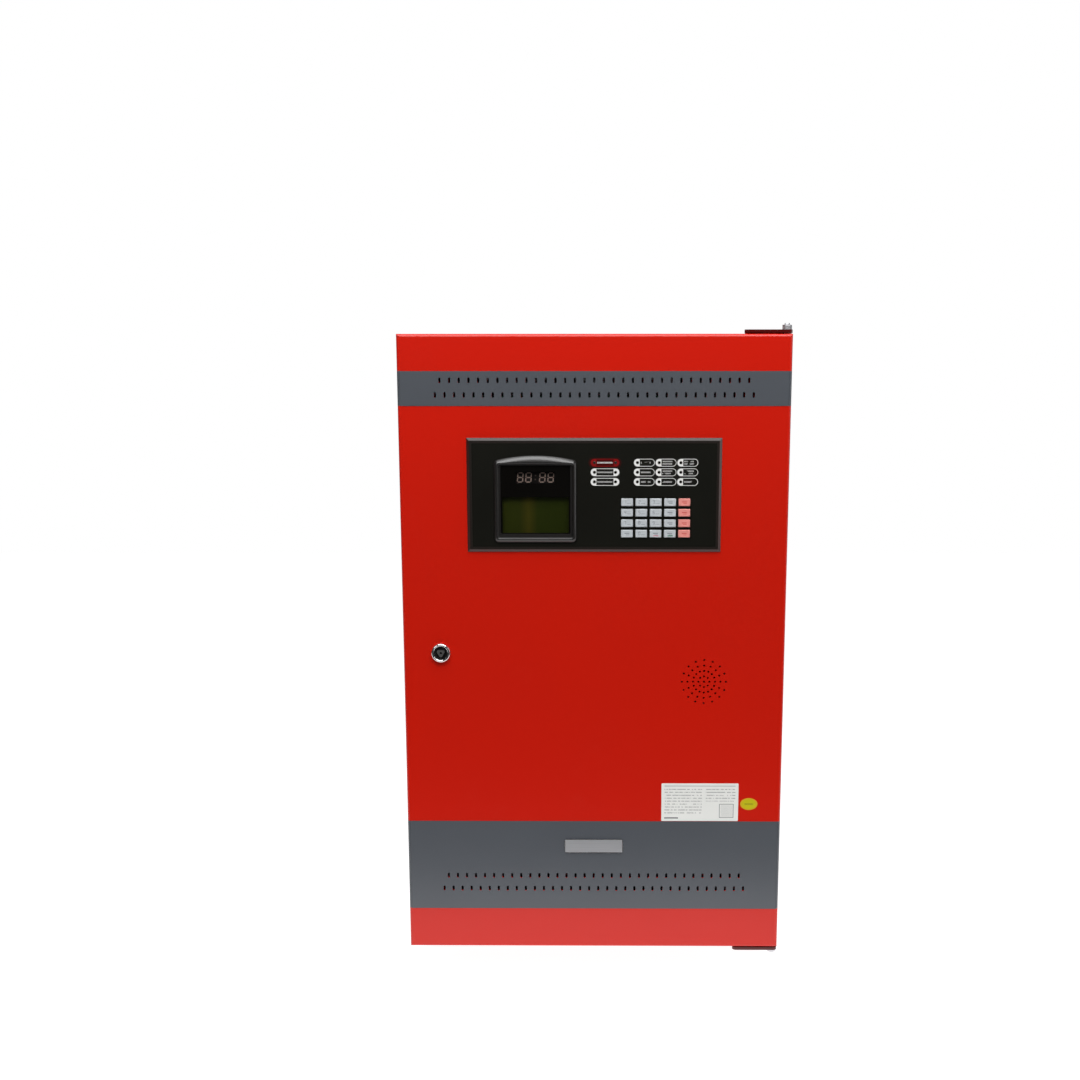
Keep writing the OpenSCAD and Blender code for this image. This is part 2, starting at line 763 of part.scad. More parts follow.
module door_panel() {
    color(red) difference() {
        translate([0, door_front, 0]) fold_case(cab_w, door_h, pan_d);
        slab(door_back - sheet_t - through, sheet_t + 2 * through)
            square([cab_w - 2 * lip_w, door_h - 2 * lip_w], center = true);
        slab(door_front - through, sheet_t + 2 * through) {
            translate([0, fascia_z])
                square([spigot_w + 2 * cutout_slip, spigot_h + 2 * cutout_slip], center = true);
            vent_rows(upper_vents_z);
            vent_rows(lower_vents_z);
            translate([sounder_x, sounder_z]) sounder_holes();
        }
        bar(lock_x, 0, door_front - through, sheet_t + 2 * through, barrel_r + slip);
        for (z = [-1, 1])
            translate([pin_x, pin_y, z * (door_h / 2 - sheet_t / 2) - sheet_t / 2 - through])
                cylinder(h = sheet_t + 2 * through, r = pin_r + running);
    }
}

module upper_band() {
    color(grey) slab(door_front - film_t, film_t) difference() {
        translate([0, door_h / 2 - upper_band_from_top - upper_band_h / 2])
            square([band_w, upper_band_h], center = true);
        vent_rows(upper_vents_z);
    }
}

module lower_band() {
    color(grey) slab(door_front - film_t, film_t) difference() {
        translate([0, -door_h / 2 + lower_band_from_bottom + lower_band_h / 2])
            square([band_w, lower_band_h], center = true);
        vent_rows(lower_vents_z);
    }
}

module door_gasket() {
    w = cab_w - 2 * gasket_edge;
    h = door_h - 2 * gasket_edge;
    color("black") slab(door_back, door_gap - 4 * slip) difference() {
        square([w, h], center = true);
        square([w - 2 * gasket_w, h - 2 * gasket_w], center = true);
    }
}

// Hooks on the spigot that snap behind the door sheet
module fascia_barbs() {
    for (x = [-80, 0, 80], side = [-1, 1])
        translate([x - barb_l / 2, 0, fascia_z]) rotate([90, 0, 90]) linear_extrude(barb_l)
            polygon([[door_inner + slip, side * (spigot_h / 2 - spigot_wall)],
                     [door_inner + slip, side * (spigot_h / 2 + 1.2)],
                     [door_front + spigot_d, side * spigot_h / 2],
                     [door_front + spigot_d, side * (spigot_h / 2 - spigot_wall)]]);
}

// Four posts on the back of the frame carry the door's circuit board
posts = corners(0, fascia_z, post_x, post_z);

module fascia_frame() {
    color(black) difference() {
        union() {
            translate([0, fascia_front, fascia_z])
                bevelled_plate(fascia_w, fascia_h, fascia_proud, fascia_proud - 0.4);
            slab(door_front, spigot_d) translate([0, fascia_z]) difference() {
                square([spigot_w, spigot_h], center = true);
                square([spigot_w - 2 * spigot_wall, spigot_h - 2 * spigot_wall], center = true);
            }
            fascia_barbs();
            for (p = posts) bar(p[0], p[1], door_front, door_board_front - door_front, post_r);
        }
        slab(fascia_front - through, overlay_t + through) translate([0, fascia_z])
            square([fascia_w - 2 * overlay_border, fascia_h - 2 * overlay_border], center = true);
        slab(fascia_front - through, fascia_proud + 2 * through) {
            translate([bezel_x, window_z])
                square([window_w + 2 * window_lap + 2 * slip, window_h + 2 * window_lap + 2 * slip],
                       center = true);
            for (row = [1:key_rows], col = [1:key_cols]) translate([key_x(col), key_z(row)])
                square([key_w + 2 * key_slip, key_h + 2 * key_slip], center = true);
        }
        for (p = lamp_points)
            bar(p[0], p[1], fascia_front - through, fascia_proud + 2 * through, lamp_r + slip);
        for (p = posts) bar(p[0], p[1], door_board_front - 7, 7 + through, 1.6);
    }
}

// Bezel outline: straight sides and foot, an arched top and rounded corners, drawn in from the edge
module bezel_outline(inset) {
    half = bezel_w / 2 - inset;
    r = bezel_corner_r - inset * 0.8;
    top_r = (pow(bezel_w / 2, 2) + pow(bezel_arch, 2)) / (2 * bezel_arch) - inset;
    centre_z = bezel_side_h + bezel_arch - inset - top_r;
    corner_z = centre_z + sqrt(pow(top_r - r, 2) - pow(half - r, 2));
    lean = acos((half - r) / (top_r - r));
    polygon(concat(
        arc(half - r, inset + r, r, 270, 360, 6), arc(half - r, corner_z, r, 0, lean, 6),
        arc(0, centre_z, top_r, lean, 180 - lean, 20), arc(-half + r, corner_z, r, 180 - lean, 180, 6),
        arc(-half + r, inset + r, r, 180, 270, 6)));
}

module fascia_overlay() {
    edge = overlay_border + slip;
    color([0.12, 0.12, 0.12]) difference() {
        slab(fascia_front, overlay_t) difference() {
            translate([0, fascia_z]) square([fascia_w - 2 * edge, fascia_h - 2 * edge], center = true);
            translate([bezel_x, bezel_bottom]) bezel_outline(2);
            for (row = [1:key_rows], col = [1:key_cols]) translate([key_x(col), key_z(row)])
                square([key_w + 2 * key_slip, key_h + 2 * key_slip], center = true);
        }
        for (p = lamp_points)
            bar(p[0], p[1], fascia_front - through, overlay_t + 2 * through, lamp_r + slip);
    }
}

module display_bezel() {
    color(black) difference() {
        union() {
            slab(fascia_front - bezel_base_t, bezel_base_t)
                translate([bezel_x, bezel_bottom]) bezel_outline(0);
            slab(fascia_front - bezel_rim_out, bezel_rim_out) difference() {
                translate([bezel_x, bezel_bottom]) bezel_outline(0);
                translate([bezel_x, bezel_bottom]) intersection() {
                    bezel_outline(bezel_rim_w);
                    translate([-bezel_w / 2, 0]) square([bezel_w, bezel_foot_h + window_h + brow_ledge]);
                }
            }
        }
        slab(fascia_front - bezel_base_t - through, bezel_base_t + 2 * through)
            translate([bezel_x, window_z]) square([window_w, window_h], center = true);
    }
}

module display_window() {
    color([0.1, 0.1, 0.1, 0.5]) slab(fascia_front, window_t) translate([bezel_x, window_z])
        square([window_w + 2 * window_lap, window_h + 2 * window_lap], center = true);
}

module lcd_module() {
    depth = door_board_front - display_front;
    color("olivedrab") difference() {
        block(bezel_x, lcd_z, lcd_w, lcd_h, display_front, depth);
        block(bezel_x, lcd_z, lcd_glass_w, lcd_glass_h, display_front - through, 0.6 + through);
    }
}

module clock_display() {
    depth = door_board_front - display_front;
    color("black") difference() {
        block(bezel_x, clock_z, clock_w, clock_h, display_front, depth);
        block(bezel_x, clock_z, clock_w - 3, clock_h - 3, display_front - through, 0.4 + through);
    }
}

module indicator_leds() {
    front = fascia_front - 0.2;
    color("darkolivegreen") for (p = lamp_points)
        turned(p[0], p[1], [[0, front], [lamp_r - 0.3, front], [lamp_r, front + 0.3],
                            [lamp_r, door_board_front], [0, door_board_front]]);
}

module door_board() {
    back = door_board_front + board_t;
    color("darkgreen") difference() {
        union() {
            slab(door_board_front, board_t) translate([0, fascia_z])
                square([spigot_w - 14, spigot_h - 2], center = true);
            block(door_socket_x, fascia_z, socket_w, socket_h, back, socket_d - 1);
            row_of(4, 30) block(-25, fascia_z + 22, 20, 12, back, 3);
            block(bezel_x, fascia_z - 22, 60, 8, back, 4);
        }
        for (p = posts) bar(p[0], p[1], door_board_front - through, board_t + 2 * through, 1.7);
    }
}

// Four board screws, and three clamps with studs and nuts round the sounder's rim
module door_fixings() {
    back = door_board_front + board_t;
    clamp_y = door_inner + sounder_rim_t + slip;
    clamp_l = clamp_r - sounder_r + clamp_lap + clamp_w / 2;
    color("silver") {
        for (p = posts)
            turned(p[0], p[1], [[0, back - 6], [1.5, back - 6], [1.5, back], [3, back],
                                [3, back + 2], [0, back + 2]]);
        for (a = [90, 210, 330]) translate([sounder_x, 0, sounder_z]) rotate([0, a, 0]) {
            bar(clamp_r, 0, door_inner, 7, clamp_stud_r);
            difference() {
                union() {
                    translate([sounder_r - clamp_lap, clamp_y, -clamp_w / 2])
                        cube([clamp_l, clamp_t, clamp_w]);
                    bar(clamp_r, 0, clamp_y + clamp_t, 3.2, clamp_w / 2);
                }
                bar(clamp_r, 0, door_inner, 9, clamp_stud_r + slip);
            }
        }
    }
}

// Rubber mat under the keys, notched where a post of the frame would meet it
module keypad_membrane() {
    mid_x = key_x((key_cols + 1) / 2);
    mid_z = key_z((key_rows + 1) / 2);
    front = door_board_front - membrane_t;
    color("gray") difference() {
        slab(front, membrane_t) translate([mid_x, mid_z])
            rounded_rect(key_cols * key_pitch_x + 4, key_rows * key_pitch_z + 4, 2);
        for (p = posts) bar(p[0], p[1], front - through, membrane_t + 2 * through, post_r + cutout_slip);
    }
}

module keycap(row, col) {
    shade = col == key_cols ? [0.92, 0.55, 0.5] : [0.75, 0.77, 0.78];
    front = fascia_front - key_out;
    color(shade) translate([key_x(col), 0, key_z(row)]) {
        translate([0, front, 0])
            bevelled_plate(key_w, key_h, door_front + slip - front, 0.5);
        block(0, 0, key_w + 2 * key_flange, key_h + 2 * key_flange, door_front + slip, key_flange_t);
        block(0, 0, key_stem_w, key_stem_h, door_front + slip + key_flange_t,
              key_stem_back - (door_front + slip + key_flange_t));
    }
}

// Sounder frame: a rim, a cone-shaped basket and a magnet
module speaker() {
    y = door_inner;
    r = sounder_r;
    color("darkslategray") turned(sounder_x, sounder_z, [
        [r - 4, y], [r, y], [r, y + sounder_rim_t], [r - sounder_rim_w, y + sounder_rim_t],
        [magnet_r, y + 10], [magnet_r, y + magnet_back], [0, y + magnet_back], [0, y + 12],
        [magnet_r - 3, y + 12], [magnet_r - 3, y + 9.2], [r - 4.6, y + 2]]);
}

module speaker_cone() {
    y = door_inner;
    r = sounder_r;
    color("black") turned(sounder_x, sounder_z, [
        [r - 5, y + 1.1], [r - 5, y + 1.7], [9, y + 8.6], [9, y + 11], [0, y + 11], [0, y + 7],
        [6, y + 8], [8.5, y + 7.9]]);
}

module lock_body() {
    front = door_front - lock_out;
    color("silver") turned(lock_x, 0, concat(
        [[lock_well_r, front + lock_well_d], [lock_well_r, front + 0.4]],
        arc(lock_well_r + 0.9, front + 0.9, 0.9, 180, 270, 4),
        arc(lock_bezel_r - 1.8, front + 1.8, 1.8, 270, 360, 6),
        [[lock_bezel_r, door_front], [barrel_r, door_front], [barrel_r, barrel_back],
         [core_r + running, barrel_back], [core_r + running, front + lock_well_d]]));
}

module lock_nut() {
    color("silver") translate([lock_x, door_inner + lock_nut_t, 0]) rotate([90, 0, 0]) difference() {
        cylinder(h = lock_nut_t, r = lock_nut_af / 2 / cos(30), $fn = 6);
        translate([0, 0, -through]) cylinder(h = lock_nut_t + 2 * through, r = barrel_r + slip / 2);
    }
}

// Three-sided post pointing down in the well, on a round core that carries the cam's square
module lock_cylinder() {
    front = door_front - lock_out;
    floor_y = front + lock_well_d;
    color("gray") difference() {
        union() {
            bar(lock_x, 0, floor_y, barrel_back - floor_y, core_r);
            slab(floor_y - 2.2, 2.2) translate([lock_x, 0]) polygon([for (a = [30, 150, 270])
                each arc(2.6 * cos(a), 2.6 * sin(a), 1.6, a - 60, a + 60, 6)]);
            block(lock_x, 0, cam_square, cam_square, barrel_back, cam_front + cam_t - barrel_back);
        }
        bar(lock_x, 0, floor_y - 2.2 - through, 4, 1.3);
    }
}

module lock_cam() {
    color("lightgray") {
        slab(cam_front, cam_t) translate([lock_x, 0]) difference() {
            union() {
                circle(cam_round_r);
                translate([-cam_round_r, 0]) square([2 * cam_round_r, cam_reach]);
            }
            square(cam_square + slip, center = true);
        }
        turned(lock_x, 0, [[0, cam_front + cam_t + slip], [5.5, cam_front + cam_t + slip],
                           [5.5, cam_front + cam_t + 2], [3.5, cam_front + cam_t + 4],
                           [0, cam_front + cam_t + 4]]);
    }
}

module rating_label() {
    bottom = -door_h / 2 + lower_band_from_bottom + lower_band_h + label_gap;
    color("whitesmoke") slab(door_front - film_t, film_t)
        translate([cab_w / 2 - label_right - label_w / 2, bottom + label_h / 2])
            rounded_rect(label_w, label_h, 1);
}

module inspection_sticker() {
    z = -door_h / 2 + lower_band_from_bottom + lower_band_h + sticker_rise;
    color("gold") slab(door_front - film_t, film_t) translate([cab_w / 2 - sticker_right, z])
        polygon([for (a = [0:10:350]) [sticker_half_w * cos(a), sticker_half_h * sin(a)]]);
}

// Plain raised nameplate
module badge() {
    z = -door_h / 2 + lower_band_from_bottom + badge_rise;
    color("silver") slab(door_front - film_t - badge_t, badge_t) translate([0, z])
        rounded_rect(badge_w, badge_h, 3);
}

// ---------- pieces ----------

cabinet_box();
hinge_plates();
hinge_pins();
chassis_plate();
board_pillars();
inside_screws();
main_board();
loop_board();
board_parts();
terminal_blocks();
power_supply();
mains_rocker();
battery_left();
battery_right();
battery_strap();
gland_plate();
cable_grommets();
door_panel();
upper_band();
lower_band();
door_gasket();
fascia_frame();
fascia_overlay();
display_bezel();
display_window();
lcd_module();
clock_display();
indicator_leds();
door_board();
door_fixings();
keypad_membrane();
speaker();
speaker_cone();
lock_body();
lock_nut();
lock_cylinder();
lock_cam();
rating_label();
inspection_sticker();
badge();
for (row = [1:key_rows], col = [1:key_cols])
    keycap(row, col);
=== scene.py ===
from math import radians
import bmesh
import bpy
import numpy as np
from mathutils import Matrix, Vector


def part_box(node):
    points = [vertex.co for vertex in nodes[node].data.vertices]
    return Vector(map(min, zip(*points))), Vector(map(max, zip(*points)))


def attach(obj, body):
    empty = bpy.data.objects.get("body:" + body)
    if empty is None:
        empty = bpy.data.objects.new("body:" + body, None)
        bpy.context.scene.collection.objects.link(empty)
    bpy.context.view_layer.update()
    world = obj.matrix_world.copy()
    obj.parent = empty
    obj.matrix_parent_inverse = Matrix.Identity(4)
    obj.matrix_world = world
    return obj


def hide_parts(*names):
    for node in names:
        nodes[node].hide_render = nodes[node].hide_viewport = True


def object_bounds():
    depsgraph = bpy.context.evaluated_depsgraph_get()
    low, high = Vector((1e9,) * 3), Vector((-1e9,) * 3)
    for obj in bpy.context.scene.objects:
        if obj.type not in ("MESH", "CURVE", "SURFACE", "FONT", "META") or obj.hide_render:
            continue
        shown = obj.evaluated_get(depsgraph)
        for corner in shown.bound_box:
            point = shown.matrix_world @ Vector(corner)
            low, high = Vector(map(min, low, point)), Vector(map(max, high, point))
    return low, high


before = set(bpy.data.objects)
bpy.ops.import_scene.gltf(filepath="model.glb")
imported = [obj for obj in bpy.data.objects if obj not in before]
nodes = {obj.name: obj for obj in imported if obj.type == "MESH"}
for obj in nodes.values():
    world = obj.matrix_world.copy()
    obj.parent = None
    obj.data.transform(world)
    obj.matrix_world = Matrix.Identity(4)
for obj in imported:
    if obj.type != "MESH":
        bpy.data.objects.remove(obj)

cad_bounds = [list(corner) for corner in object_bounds()]


# ======== Camera, floor and light ========
# The camera stands in front of the door's middle, level with the display, and looks a little down.
# A pale table top lies under the panel; soft boxes hang in front of it, over it and at its right.
MM = 0.001
door_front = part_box("door_panel")[0].y

camera = bpy.data.objects.new("camera", bpy.data.cameras.new("camera"))
camera.data.sensor_width = 36
camera.data.lens = 43.33
camera.data.shift_x = -0.0426
camera.data.shift_y = 0.0926
camera_away = 1273 * MM
camera_height = 237 * MM
look_down = 9.98
camera.location = (1 * MM, door_front - camera_away, camera_height)
camera.rotation_euler = (radians(90 - look_down), 0, radians(0.4))
bpy.context.scene.collection.objects.link(camera)
bpy.context.scene.camera = camera
bpy.context.scene.view_settings.view_transform = "Standard"

floor_z = cad_bounds[0][2] - 30 * MM
floor_front = door_front - 290 * MM
floor_mesh = bpy.data.meshes.new("floor")
floor_corners = [(-4, floor_front, floor_z), (4, floor_front, floor_z), (4, 4, floor_z), (-4, 4, floor_z)]
floor_mesh.from_pydata(floor_corners, [], [(0, 1, 2, 3)])
floor = bpy.data.objects.new("floor", floor_mesh)
floor_material = bpy.data.materials.new("floor")
floor_material.use_nodes = True
floor_shader = floor_material.node_tree.nodes["Principled BSDF"]
floor_shader.inputs["Base Color"].default_value = (0.4, 0.4, 0.4, 1)
floor_shader.inputs["Roughness"].default_value = 0.9
floor_shader.inputs["Emission Color"].default_value = (1, 1, 1, 1)
floor_shader.inputs["Emission Strength"].default_value = 0.97
floor_mesh.materials.append(floor_material)
bpy.context.scene.collection.objects.link(floor)


def soft_box(name, place, aim, wide, tall, watts):
    """A rectangular lamp at one place, turned to face another."""
    lamp = bpy.data.objects.new(name, bpy.data.lights.new(name, "AREA"))
    lamp.data.shape = "RECTANGLE"
    lamp.data.size = wide
    lamp.data.size_y = tall
    lamp.data.energy = watts
    lamp.location = place
    way = np.subtract(aim, place)
    across = np.hypot(way[0], way[1])
    lamp.rotation_euler = (np.arctan2(across, -way[2]), 0, np.arctan2(-way[0], way[1]))
    bpy.context.scene.collection.objects.link(lamp)


soft_box("main_box", (0.0, -0.96, 1.22), (0, -0.1, 0.2), 1.5, 0.7, 20.5)
soft_box("left_box", (-1.7, -1.9, 1.2), (0, -0.1, 0.1), 0.9, 0.9, 6.5)
soft_box("right_box", (1.7, -1.9, 1.2), (0, -0.1, 0.1), 0.9, 0.9, 6.5)
soft_box("top_box", (0.0, -0.15, 1.5), (0, -0.1, 0), 1.8, 1.0, 14)
soft_box("side_box", (2.2, -0.4, 0.5), (0.1, -0.1, 0), 0.8, 1.2, 6)

# The sky lights the panel softly and shows as plain white behind it.
world = bpy.data.worlds.new("studio")
bpy.context.scene.world = world
world.use_nodes = True
sky = world.node_tree.nodes["Background"]
sky_seen = world.node_tree.nodes.new("ShaderNodeLightPath")
sky_level = world.node_tree.nodes.new("ShaderNodeMix")
sky_level.data_type = "RGBA"
sky_level.inputs[6].default_value = (0.05, 0.05, 0.05, 1)
sky_level.inputs[7].default_value = (1, 1, 1, 1)
world.node_tree.links.new(sky_seen.outputs["Is Camera Ray"], sky_level.inputs[0])
world.node_tree.links.new(sky_level.outputs[2], sky.inputs["Color"])


# ======== Back box ========
# The back box is one folded steel sheet with welded corners, powder coated red inside and out.
# Its coat has the fine orange peel and the slight cloudiness that baked powder has.
class Field:
    """A number or colour that varies over a surface: a node's socket. Arithmetic adds Math nodes."""

    def __init__(self, finish, socket):
        self.finish = finish
        self.socket = socket

    def math(self, operation, first, second=0.0):
        return self.finish.math(operation, first, second)

    def __add__(self, other):
        return self.math("ADD", self, other)

    def __radd__(self, other):
        return self.math("ADD", other, self)

    def __sub__(self, other):
        return self.math("SUBTRACT", self, other)

    def __rsub__(self, other):
        return self.math("SUBTRACT", other, self)

    def __mul__(self, other):
        return self.math("MULTIPLY", self, other)

    def __rmul__(self, other):
        return self.math("MULTIPLY", other, self)

    def __truediv__(self, other):
        return self.math("DIVIDE", self, other)

    def __mod__(self, other):
        return self.math("FLOORED_MODULO", self, other)

    def __lt__(self, other):
        return self.math("LESS_THAN", self, other)

    def __gt__(self, other):
        return self.math("GREATER_THAN", self, other)

    def __abs__(self):
        return self.math("ABSOLUTE", self)

    def most(self, other):
        return self.math("MAXIMUM", self, other)

    def least(self, other):
        return self.math("MINIMUM", self, other)

    def floor(self):
        return self.math("FLOOR", self)

    def distance(self, other):
        """How far out a point lies whose offsets are this field and the other."""
        return self.math("SQRT", self * self + other * other)


class Finish:
    """A material with one Principled shader; x, y and z are the place on the object in millimetres."""

    def __init__(self, name, **level):
        self.material = bpy.data.materials.new(name)
        self.material.use_nodes = True
        self.tree = self.material.node_tree
        self.shader = self.tree.nodes["Principled BSDF"]
        for key, value in level.items():
            self.shader.inputs[key.replace("_", " ").title().replace("Ior", "IOR")].default_value = value
        self.place = self.add("ShaderNodeTexCoord")["Object"]
        axes = self.add("ShaderNodeSeparateXYZ", [self.place])
        self.x, self.y, self.z = (axes[axis] * 1000 for axis in "XYZ")

    def add(self, kind, values=(), stops=(), **settings):
        """A node of any type: its settings first, then the values or links of its sockets."""
        node = self.tree.nodes.new(kind)
        for key, value in settings.items():
            setattr(node, key, value)
        for index, (at, colour) in enumerate(stops):
            band = node.color_ramp.elements
            stop = band[index] if index < 2 else band.new(at)
            stop.position = at
            stop.color = colour
        for key, value in values.items() if isinstance(values, dict) else enumerate(values):
            self.link(node.inputs[key], value)
        return {output.name: Field(self, output) for output in node.outputs if output.enabled}

    def link(self, socket, value):
        if isinstance(value, Field):
            self.tree.links.new(value.socket, socket)
        else:
            socket.default_value = value

    def math(self, operation, first, second=0.0):
        return self.add("ShaderNodeMath", [first, second], operation=operation)["Value"]

    def blend(self, share, first, second):
        return self.add("ShaderNodeMix", {0: share, 6: first, 7: second}, data_type="RGBA")["Result"]

    def noise(self, scale, detail=2.0, place=None):
        values = {"Vector": place or self.place, "Scale": scale, "Detail": detail}
        return self.add("ShaderNodeTexNoise", values)["Fac"]

    def streaks(self, scale, detail=2):
        """Noise drawn out into lines: its place is scaled by a different amount along each axis."""
        drawn = self.add("ShaderNodeMapping", {"Vector": self.place, "Scale": scale})["Vector"]
        return self.noise(1.0, detail, drawn)

    def bump(self, height, depth):
        return self.add("ShaderNodeBump", {"Height": height, "Distance": depth})["Normal"]

    def show(self, **fields):
        """Links what varies to the shader: colour, roughness, metallic, coat, alpha, glow or normal."""
        names = {"colour": "Base Color", "roughness": "Roughness", "metallic": "Metallic",
                 "coat": "Coat Weight", "alpha": "Alpha", "glow": "Emission Color", "normal": "Normal"}
        for key, value in fields.items():
            self.link(self.shader.inputs[names[key]], value)
        return self


def tone(red, green, blue):
    """A colour given as display levels from 0 to 255, turned into linear light."""
    level = np.array([red, green, blue]) / 255
    return (*np.where(level < 0.04045, level / 12.92, ((level + 0.055) / 1.055) ** 2.4), 1.0)


def dress(finish, *names):
    """Gives a CAD node's own faces a finish."""
    for name in names:
        for place in nodes[name].material_slots:
            place.material = finish.material


def powder_coat(name, base, dark):
    """Baked powder: cloudy colour, orange peel about 1.5 mm across and a finer grain."""
    coat = Finish(name, specular_ior_level=0.45)
    cloud = coat.noise(9, 3)
    peel = coat.noise(650, 1)
    grain = coat.noise(3200, 1)
    coat.own_colour = coat.blend(cloud * 0.5 + grain * 0.1, base, dark)
    return coat.show(colour=coat.own_colour,
                     roughness=0.2 + cloud * 0.08 + grain * 0.04,
                     normal=coat.bump(peel * 0.8 + grain * 0.2, 0.014 * MM))


coat_red = tone(208, 26, 6)
coat_shade = tone(196, 22, 5)
dress(powder_coat("red_powder_coat", coat_red, coat_shade), "cabinet_box")


# ======== Hinge ========
# Two folded plates on the top and bottom of the box carry the door. The upper pin has a thread and a nut,
# the lower one a round head; both are zinc plated. White nylon washers lie between plates and door.
# The plates' coat is a far darker red than the box's: painted shade for the shadow their front edges lie in.
dress(powder_coat("hinge_coat_painted_shade", tone(84, 5, 2), tone(66, 4, 2)), "hinge_plates")


def plated_steel(name, bright, dull, roughness=0.28):
    """Zinc plate: cloudy brightness and fine rolling lines along x."""
    steel = Finish(name, metallic=1.0)
    cloud = steel.noise(45, 4)
    lines = steel.streaks((60, 900, 900))
    return steel.show(colour=steel.blend(cloud, bright, dull),
                      roughness=roughness + cloud * 0.14 + lines * 0.06,
                      normal=steel.bump(lines, 0.015 * MM))


zinc = plated_steel("zinc_plate", tone(206, 208, 210), tone(170, 173, 177))
dress(zinc, "chassis_plate", "battery_strap", "gland_plate", "lock_cam")


class Extent:
    """A CAD node's box in millimetres: its low and high corners, its middle and half its size."""

    def __init__(self, name):
        low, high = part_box(name)
        self.low = low * 1000
        self.high = high * 1000
        self.middle = (low + high) * 500
        self.half = (high - low) * 500


plate_thick = 3
thread_pitch = 0.8
box_top = Extent("hinge_plates").high.z - plate_thick
pin_finish = Finish("hinge_zinc")
from_middle = abs(pin_finish.z)
washer = (from_middle > box_top - 1) * (from_middle < box_top)
steel_cloud = pin_finish.noise(45, 4)
wave = pin_finish.math("SINE", pin_finish.z * (2 * np.pi / thread_pitch))
thread = wave * (from_middle > box_top + 7)
pin_finish.show(colour=pin_finish.blend(washer, tone(214, 214, 217), tone(226, 224, 214)),
                metallic=0.7 - washer * 0.7, roughness=0.3 + steel_cloud * 0.12 + washer * 0.3,
                normal=pin_finish.bump(thread, 0.12 * MM))
dress(pin_finish, "hinge_pins")


# ======== Chassis pillars and screws ========
# Turned brass pillars hold the boards off the chassis; pan-head screws with a cross recess hold boards,
# chassis, strap, gland plate and the board in the door.
brass = plated_steel("turned_brass", tone(214, 172, 92), tone(178, 136, 64), 0.24)
dress(brass, "board_pillars")
screw_zinc = plated_steel("screw_zinc", tone(216, 216, 214), tone(176, 176, 172), 0.24)
dress(screw_zinc, "inside_screws", "door_fixings", "lock_nut")


# ======== Circuit boards ========
# Green solder mask over copper tracks, with tinned holes and a white printed outline near the edge.
def circuit_board(name):
    """Tracks run in lanes one lead pitch apart, broken where a slow noise says so; vias sit on every third
    lane. What stands on the board's back is black plastic, or ivory for the socket near its right end."""
    size = Extent(name)
    lane = 2.54
    board_thick = 1.7
    socket_width = 30
    board = Finish(name + "_mask", roughness=0.3, coat_weight=0.4)
    band = board.noise(70, 1)
    track = (abs((board.x / lane) % 1.0 - 0.5) < 0.13) * (band > 0.47)
    cross = (abs((board.z / lane) % 1.0 - 0.5) < 0.12) * (band < 0.42)
    copper = track.most(cross)
    u = (board.x / (3 * lane)) % 1.0 - 0.5
    v = (board.z / (3 * lane)) % 1.0 - 0.5
    ring = u.distance(v) * (3 * lane)
    via = (ring < 0.62) * (board.noise(110, 0) > 0.5)
    hole = (ring < 0.28) * via
    frame_x = abs(board.x - size.middle.x) - (size.half.x - 3)
    frame_z = abs(board.z - size.middle.z) - (size.half.z - 3)
    outline = abs(frame_x.most(frame_z)) < 0.16
    mask = board.blend(copper, tone(8, 74, 38), tone(28, 112, 58))
    tinned = board.blend(via, mask, tone(196, 190, 168))
    bored = board.blend(hole, tinned, tone(20, 20, 18))
    printed = board.blend(outline, bored, tone(222, 226, 220))
    fitted = board.y > size.low.y + board_thick
    plastic = board.blend(board.x > size.high.x - socket_width, tone(30, 30, 32), tone(214, 206, 186))
    board.show(colour=board.blend(fitted, printed, plastic), metallic=via * (1 - fitted) * 0.9,
               normal=board.bump(copper + via, 0.05 * MM))
    dress(board, name)


circuit_board("main_board")
circuit_board("loop_board")
circuit_board("door_board")


# ======== Components on the boards ========
# Black chips, blue relays, capacitors in dark sleeves, ivory fuses and sockets, each soldered to its board.
# Each kind takes its colour from its place on the board and has a printed mark of plain bars.
main_board = Extent("main_board")
main_x, main_z = main_board.middle.x, main_board.middle.z
loop_board = Extent("loop_board")
loop_x, loop_z = loop_board.middle.x, loop_board.middle.z
component_finish = Finish("components", roughness=0.42)


def region(x0, x1, z0, z1):
    """1 inside an upright rectangle given in millimetres, 0 outside."""
    across = (component_finish.x > x0) * (component_finish.x < x1)
    return across * (component_finish.z > z0) * (component_finish.z < z1)


relays = region(main_x - 112, main_x + 31, main_z - 71, main_z - 53)
ivory = region(main_x - 116, main_x - 94, main_z + 34, main_z + 67)
cans = region(main_x - 25, main_x - 11, main_z - 21, main_z - 15)
cell = region(main_x + 44, main_x + 66, main_z - 29, main_z - 7)
switches = region(main_x + 5, main_x + 31, main_z - 24, main_z - 12)
coils = region(loop_x - 54, loop_x - 22, loop_z - 36, loop_z + 26)
top_face = component_finish.y < main_board.low.y - 2.4
bars = ((component_finish.x * 0.9) % 1.0 > 0.4) * (abs((component_finish.z % 4.2) - 2.1) < 0.35)
print_here = bars * (component_finish.noise(60, 1) > 0.5) * top_face
body_colour = component_finish.blend(relays, tone(34, 34, 36), tone(28, 74, 138))
body_colour = component_finish.blend(ivory, body_colour, tone(226, 218, 196))
body_colour = component_finish.blend(cans.most(cell), body_colour, tone(196, 196, 192))
body_colour = component_finish.blend(switches, body_colour, tone(168, 34, 26))
body_colour = component_finish.blend(coils, body_colour, tone(176, 142, 70))
component_grain = component_finish.noise(1400, 2)
component_finish.show(colour=component_finish.blend(print_here * 0.65, body_colour, tone(196, 196, 190)),
                      metallic=cans.most(cell) * 0.9, roughness=0.36 + component_grain * 0.2,
                      normal=component_finish.bump(component_grain, 0.02 * MM))
dress(component_finish, "board_parts")


